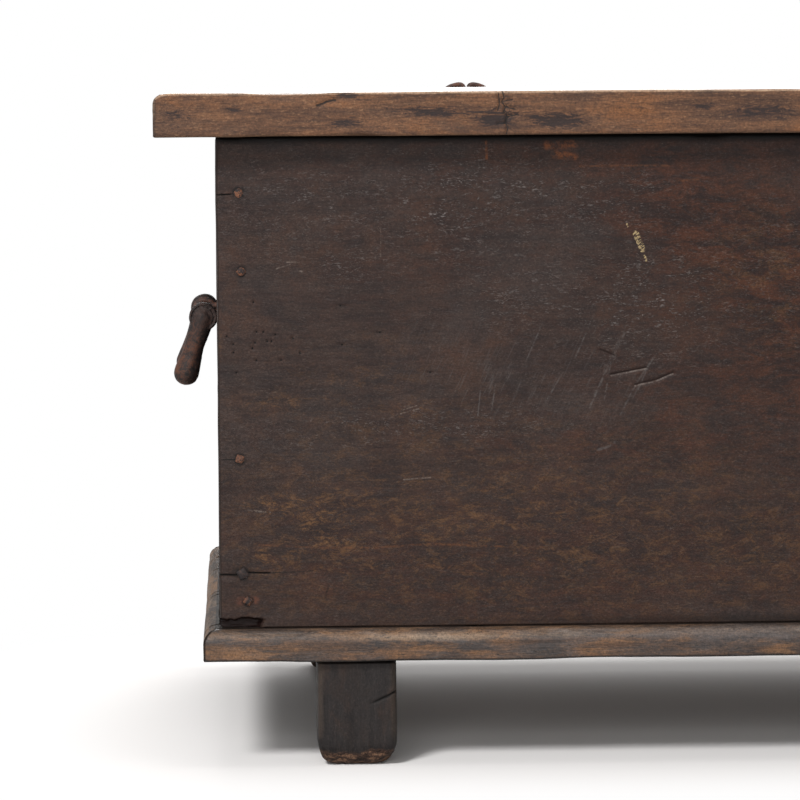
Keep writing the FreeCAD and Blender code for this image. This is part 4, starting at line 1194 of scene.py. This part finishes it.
def cotter(wire, eye, grip, reach):
    """Half of a bent wire, carried along its path: an arc round the eye, a counter-arc at the neck, a
    straight leg through the grip, a quarter turn, and a tip that tapers and sinks to the surface. Rows are
    X and Z of the path, and the radius; the wire's other half mirrors it."""
    leg = (wire + LEG_GAP) / 2
    neck_x = leg + NECK_BEND
    neck_z = math.sqrt((eye + NECK_BEND) ** 2 - neck_x ** 2)
    neck = math.atan2(neck_z, neck_x)
    tip_z = grip + wire / 2
    bend_x, bend_z = leg + CLINCH_BEND, tip_z - CLINCH_BEND
    round_eye = np.linspace(-np.pi / 2, neck, 26)
    round_neck = np.linspace(np.pi + neck, np.pi, 8)[1:]
    round_bend = np.linspace(np.pi, np.pi / 2, 8)
    run = np.linspace(0, 1, 12)[1:]
    x = np.concatenate([eye * np.cos(round_eye), neck_x + NECK_BEND * np.cos(round_neck),
                        bend_x + CLINCH_BEND * np.cos(round_bend), bend_x + (reach - bend_x) * run])
    z = np.concatenate([eye * np.sin(round_eye), neck_z + NECK_BEND * np.sin(round_neck),
                        bend_z + CLINCH_BEND * np.sin(round_bend), tip_z - 0.9 * wire * run ** 2.2])
    radius = np.full(x.size, wire / 2)
    radius[-run.size:] *= 1 - 0.45 * run ** 1.5
    return x, z, radius


def bent_wire(name, wire, eye, grip, reach, across, up, place, seed):
    """Mesh object of a whole bent wire: circles square to its flat path, which is laid out on two directions
    from a place, with small bumps all over."""
    x, z, radius = cotter(wire, eye, grip, reach)
    path = np.stack([np.concatenate([-x[::-1], x[1:]]), np.concatenate([z[::-1], z[1:]])], -1)
    radius = np.concatenate([radius[::-1], radius[1:]])[:, None]
    ahead = np.gradient(path, axis=0)
    ahead /= np.linalg.norm(ahead, axis=1, keepdims=True)
    angle = np.linspace(0, 2 * np.pi, 20, endpoint=False)
    aside = np.stack([ahead[:, 1:], -ahead[:, :1]], -1)
    in_plane = path[:, None, :] + aside * (radius * np.cos(angle))[..., None]
    across, up = np.array(across, float), np.array(up, float)
    depth = (radius * np.sin(angle))[..., None] * np.cross(across, up)
    rings = np.array(place) + in_plane[..., :1] * across + in_plane[..., 1:] * up + depth
    made = make(name, [skin(rings)], hinge_iron)
    places, normals = points_of(made)
    shift(made, normals * (WIRE_BUMPS * rough(places, (300, 300, 300), seed))[:, None])
    return made


hinge_iron = iron_finish("hinge_iron", (38, 31, 30), (78, 60, 54), (98, 60, 44), (0.5, 0.8))
joints = frame["record"]["behaviour"]["joints"]
hinge_y, hinge_z = joints[0]["pos_m"][1:]
lid_grip = HINGE_STANDOFF + lid_high.z - lid_low.z
back_grip = HINGE_STANDOFF + back_high.y - back_low.y
for side, x in (("left", -HINGE_X), ("right", HINGE_X)):
    lid_place, back_place = (x, hinge_y, lid_low.z - HINGE_STANDOFF), (x, hinge_y, hinge_z)
    lid_half = bent_wire(f"bent_hinge_{side}_lid", HINGE_WIRE, HINGE_EYE, lid_grip, LID_REACH,
                         (1, 0, 0), (0, 0, 1), lid_place, 171)
    belongs(lid_half, "lid", f"hinge_{side}_lid_cotter")
    back_half = bent_wire(f"bent_hinge_{side}_back", HINGE_WIRE, HINGE_EYE, back_grip, BACK_REACH,
                          (0, 0, 1), (0, -1, 0), back_place, 171)
    belongs(back_half, "chest", f"hinge_{side}_back_cotter")

# Bail handles
# A forged iron bail hangs at each end: a swelling grip between two arms that end in bulbs below and in
# round bosses above, whose stubs turn in two eyebolts driven through the plank and clinched inside.

EYEBOLT_WIRE = 0.005
EYEBOLT_EYE = 0.007
EYEBOLT_Y = 0.044
EYEBOLT_REACH = 0.019
PIVOT_STANDOFF = 0.012
REST_TILT = math.radians(17.3)
ARM_Y = 0.056
ARM_LENGTH = 0.046
ARM_TOP, ARM_WAIST, BULB = 0.0090, 0.0079, 0.0098
ARM_DOME = 0.0078
WAIST_AT = 0.55
GRIP_END, GRIP_MIDDLE = 0.0066, 0.0082
STUB = 0.0041
STUB_PROFILE = ((0, STUB), (0.0195, STUB), (0.0215, 0.75 * STUB))
BOSS_PROFILE = (
    (-0.0065, 0.0040), (-0.0065, 0.0088), (-0.0055, 0.0104), (-0.0040, 0.0112), (0, 0.0113),
    (0.0040, 0.0112), (0.0055, 0.0108), (0.0064, 0.0100), (0.0063, 0.0094), (0.0044, 0.0089),
    (0.0044, 0.0083), (0.0066, 0.0078), (0.0068, 0.0030))
BAIL_BLOWS = 0.00025
BAIL_PITS = 0.0003
VOXEL = 0.0007


def turned(start, way, distance, radius):
    """Round bar about a line from start along a unit vector: a circle of each radius at each distance."""
    way = np.array(way, float)
    side = np.roll(way, 1)
    other = np.cross(way, side)
    angle = np.linspace(0, 2 * np.pi, 40, endpoint=False)
    circle = np.cos(angle)[:, None] * side + np.sin(angle)[:, None] * other
    distance, radius = np.asarray(distance)[:, None, None], np.asarray(radius)[:, None, None]
    return skin(np.array(start) + distance * way + radius * circle)


def bail_skins():
    """The handle hanging straight down from its pivot line along Y: arms domed over the pivot, whose radius
    eases to a waist and out to a bulb, bosses and stubs on the pivot line, and the grip between the bulbs."""
    over = np.linspace(0, np.pi / 2, 9)[1:-1]
    share = np.linspace(0, 1, 24)
    arm = ARM_TOP + (ARM_WAIST - ARM_TOP) * step_up(share, 0, WAIST_AT)
    arm = arm + (BULB - ARM_WAIST) * step_up(share, WAIST_AT, 1)
    under = np.linspace(0, np.pi / 2, 10)[1:-1]
    below = ARM_LENGTH + BULB * np.sin(under)
    distance = np.concatenate([-ARM_DOME * np.cos(over), share * ARM_LENGTH, below])
    radius = np.concatenate([ARM_TOP * np.sin(over), arm, BULB * np.cos(under)])
    skins = []
    for face in (-1, 1):
        pivot = (0, face * ARM_Y, 0)
        skins.append(turned(pivot, (0, 0, -1), distance, radius))
        skins.append(turned(pivot, (0, face, 0), *np.array(BOSS_PROFILE).T))
        skins.append(turned(pivot, (0, -face, 0), *np.array(STUB_PROFILE).T))
    along = np.linspace(-1, 1, 60)
    swell = GRIP_MIDDLE - (GRIP_MIDDLE - GRIP_END) * along ** 2
    skins.append(turned((0, 0, -ARM_LENGTH), (0, 1, 0), along * ARM_Y, swell))
    return skins


def fused(made):
    """Joins a piece's overlapping skins into one by a fine voxel remesh, smoothed a little."""
    remesh = made.modifiers.new("fuse", "REMESH")
    remesh.mode = "VOXEL"
    remesh.voxel_size = VOXEL
    smooth = made.modifiers.new("smooth", "SMOOTH")
    smooth.iterations = 3
    whole = bpy.data.meshes.new_from_object(made.evaluated_get(bpy.context.evaluated_depsgraph_get()))
    made.modifiers.clear()
    made.data = whole
    whole.shade_smooth()


bail_iron = iron_finish("bail_iron", (23, 17, 16), (62, 46, 41), (90, 54, 36), (0.5, 0.8), "rust")
pivot_z = joints[1]["pos_m"][2]
pivot_x = front_high.x + PIVOT_STANDOFF
eyebolt_grip = PIVOT_STANDOFF + end_high.x - end_low.x
for side, sign in (("left", -1), ("right", 1)):
    bail = make(f"forged_bail_{side}", bail_skins(), bail_iron)
    fused(bail)
    bail.data.transform(Matrix.Rotation(-REST_TILT, 4, "Y"))
    bail.data.transform(Matrix.Translation((pivot_x, 0, pivot_z)))
    if sign < 0:
        bail.data.transform(Matrix.Rotation(math.pi, 4, "Z"))
    places, normals = points_of(bail)
    blows = BAIL_BLOWS * rough(places, (110, 110, 110), 181)
    blows = blows - BAIL_PITS * step_up(rough(places, (160, 160, 160), 184, 2), 0.5, 1.1)
    shift(bail, normals * blows[:, None])
    places, normals = points_of(bail)
    # Painted shade: darker on the side facing the chest and over the boss above the pivot
    behind = step_up(-sign * normals[:, 0], 0.1, 0.8)
    above = step_up(places[:, 2], pivot_z - 0.006, pivot_z + 0.008)
    mark(bail, rust=0.2 + 0.65 * step_up(pivot_z - places[:, 2], -0.004, 0.03),
         grime=1.2 * behind + 0.6 * above)
    belongs(bail, "handle_" + side, f"handle_{side}_bail")
    for face, toward in (("front", -1), ("back", 1)):
        place = (sign * pivot_x, toward * EYEBOLT_Y, pivot_z)
        bolt = bent_wire(f"bent_eyebolt_{side}_{face}", EYEBOLT_WIRE, EYEBOLT_EYE, eyebolt_grip,
                         EYEBOLT_REACH, (0, 0, 1), (-sign, 0, 0), place, 191)
        belongs(bolt, "chest", f"handle_{side}_{face}_eyebolt")

# Floor, light and camera
# A plain white floor that keeps the chest's shadow near it, four soft lights round it, and a camera low in
# front of the left half, which is what the photograph shows.

FLOOR_SIZE = 60.0
FLOOR_FADE = (0.0, 0.19)
FADE_INSIDE = 0.03
FLOOR_SEEN = (1, 0.975, 0.96, 1)
FLOOR_LIGHT = (0.45, 0.45, 0.45, 1)
WORLD_LIGHT = 0.28
# Lights, each (place, target, size, power)
SOFTBOXES = {"front_light": ((-1.7, -2.4, 2.5), (-0.15, 0, 0.25), 0.75, 90),
             "fill_light": ((-0.6, -3.4, 0.9), (-0.1, 0, 0.15), 2.0, 43),
             "top_light": ((0.3, 0.4, 3.4), (0, 0, 0.3), 2.5, 55),
             "back_light": ((0, 2.6, 1.6), (0, 0.1, 0), 2.0, 40)}
CAMERA_PLACE = (-0.4789, -2.9892, 0.5187)
CAMERA_YAW = math.radians(2.362)
CAMERA_PITCH = math.radians(5.102)
CAMERA_ROLL = math.radians(-0.297)
CAMERA_LENS = 168.38


def seen_by_eye(tree):
    """1 on rays from the camera, and on glossy and transmitted rays; 0 on the rays that carry light."""
    path = tree.nodes.new("ShaderNodeLightPath")
    total = path.outputs["Is Camera Ray"]
    for other in ("Is Glossy Ray", "Is Transmission Ray"):
        added = tree.nodes.new("ShaderNodeMath")
        added.operation = "MAXIMUM"
        tree.links.new(total, added.inputs[0])
        tree.links.new(path.outputs[other], added.inputs[1])
        total = added.outputs[0]
    return total


def floor_finish():
    """Matt white that keeps shadows, fading with the distance from the chest's own box to pure white for the
    eye alone, and darker on the rays that carry light, so that it throws little back."""
    white = Finish("floor_white", 0.0)
    white.shader.inputs["Roughness"].default_value = 1.0
    eye = seen_by_eye(white.tree)
    white.feed(white.shader.inputs["Base Color"], white.mix(eye, FLOOR_LIGHT, FLOOR_SEEN))
    chest_half = (cad_box[1].x, cad_box[1].y - FADE_INSIDE, 0)
    outer = white.node("VectorMath", {0: white.place}, operation="ABSOLUTE")
    outer = white.node("VectorMath", {0: outer, 1: chest_half}, operation="SUBTRACT")
    outer = white.node("VectorMath", {0: outer, 1: (0, 0, 0)}, operation="MAXIMUM")
    away = white.node("VectorMath", {0: outer}, 1, operation="LENGTH")
    glow = white.node("Emission", {"Strength": 1.0})
    faded = white.times(eye, white.band(away, *FLOOR_FADE))
    blended = white.node("MixShader", {0: faded, 1: white.shader.outputs[0], 2: glow})
    white.feed(white.tree.nodes["Material Output"].inputs["Surface"], blended)
    return white.material


floor_mesh = bpy.data.meshes.new("floor")
corners = [(x * FLOOR_SIZE / 2, y * FLOOR_SIZE / 2, 0) for x, y in ((-1, -1), (1, -1), (1, 1), (-1, 1))]
floor_mesh.from_pydata(corners, [], [(0, 1, 2, 3)])
floor_mesh.materials.append(floor_finish())
floor = bpy.data.objects.new("floor", floor_mesh)
bpy.context.scene.collection.objects.link(floor)

world = bpy.data.worlds.new("studio")
world.use_nodes = True
bpy.context.scene.world = world
backdrop = world.node_tree.nodes["Background"]
backdrop.inputs["Color"].default_value = (1, 1, 1, 1)
backdrop_level = world.node_tree.nodes.new("ShaderNodeMapRange")
backdrop_level.inputs["To Min"].default_value = WORLD_LIGHT
world.node_tree.links.new(seen_by_eye(world.node_tree), backdrop_level.inputs["Value"])
world.node_tree.links.new(backdrop_level.outputs[0], backdrop.inputs["Strength"])

for name, (place, target, size, power) in SOFTBOXES.items():
    lamp = bpy.data.lights.new(name, "AREA")
    lamp.size = size
    lamp.energy = power
    softbox = bpy.data.objects.new(name, lamp)
    softbox.location = place
    softbox.rotation_euler = (Vector(target) - Vector(place)).to_track_quat("-Z", "Y").to_euler()
    bpy.context.scene.collection.objects.link(softbox)

camera = bpy.data.objects.new("camera", bpy.data.cameras.new("camera"))
camera.data.lens = CAMERA_LENS
camera.data.clip_end = 100
aim = Matrix.Rotation(-CAMERA_YAW, 4, "Z") @ Matrix.Rotation(math.pi / 2 - CAMERA_PITCH, 4, "X")
camera.matrix_world = Matrix.Translation(CAMERA_PLACE) @ aim @ Matrix.Rotation(CAMERA_ROLL, 4, "Z")
bpy.context.scene.collection.objects.link(camera)
bpy.context.scene.camera = camera
bpy.context.scene.view_settings.view_transform = "Standard"
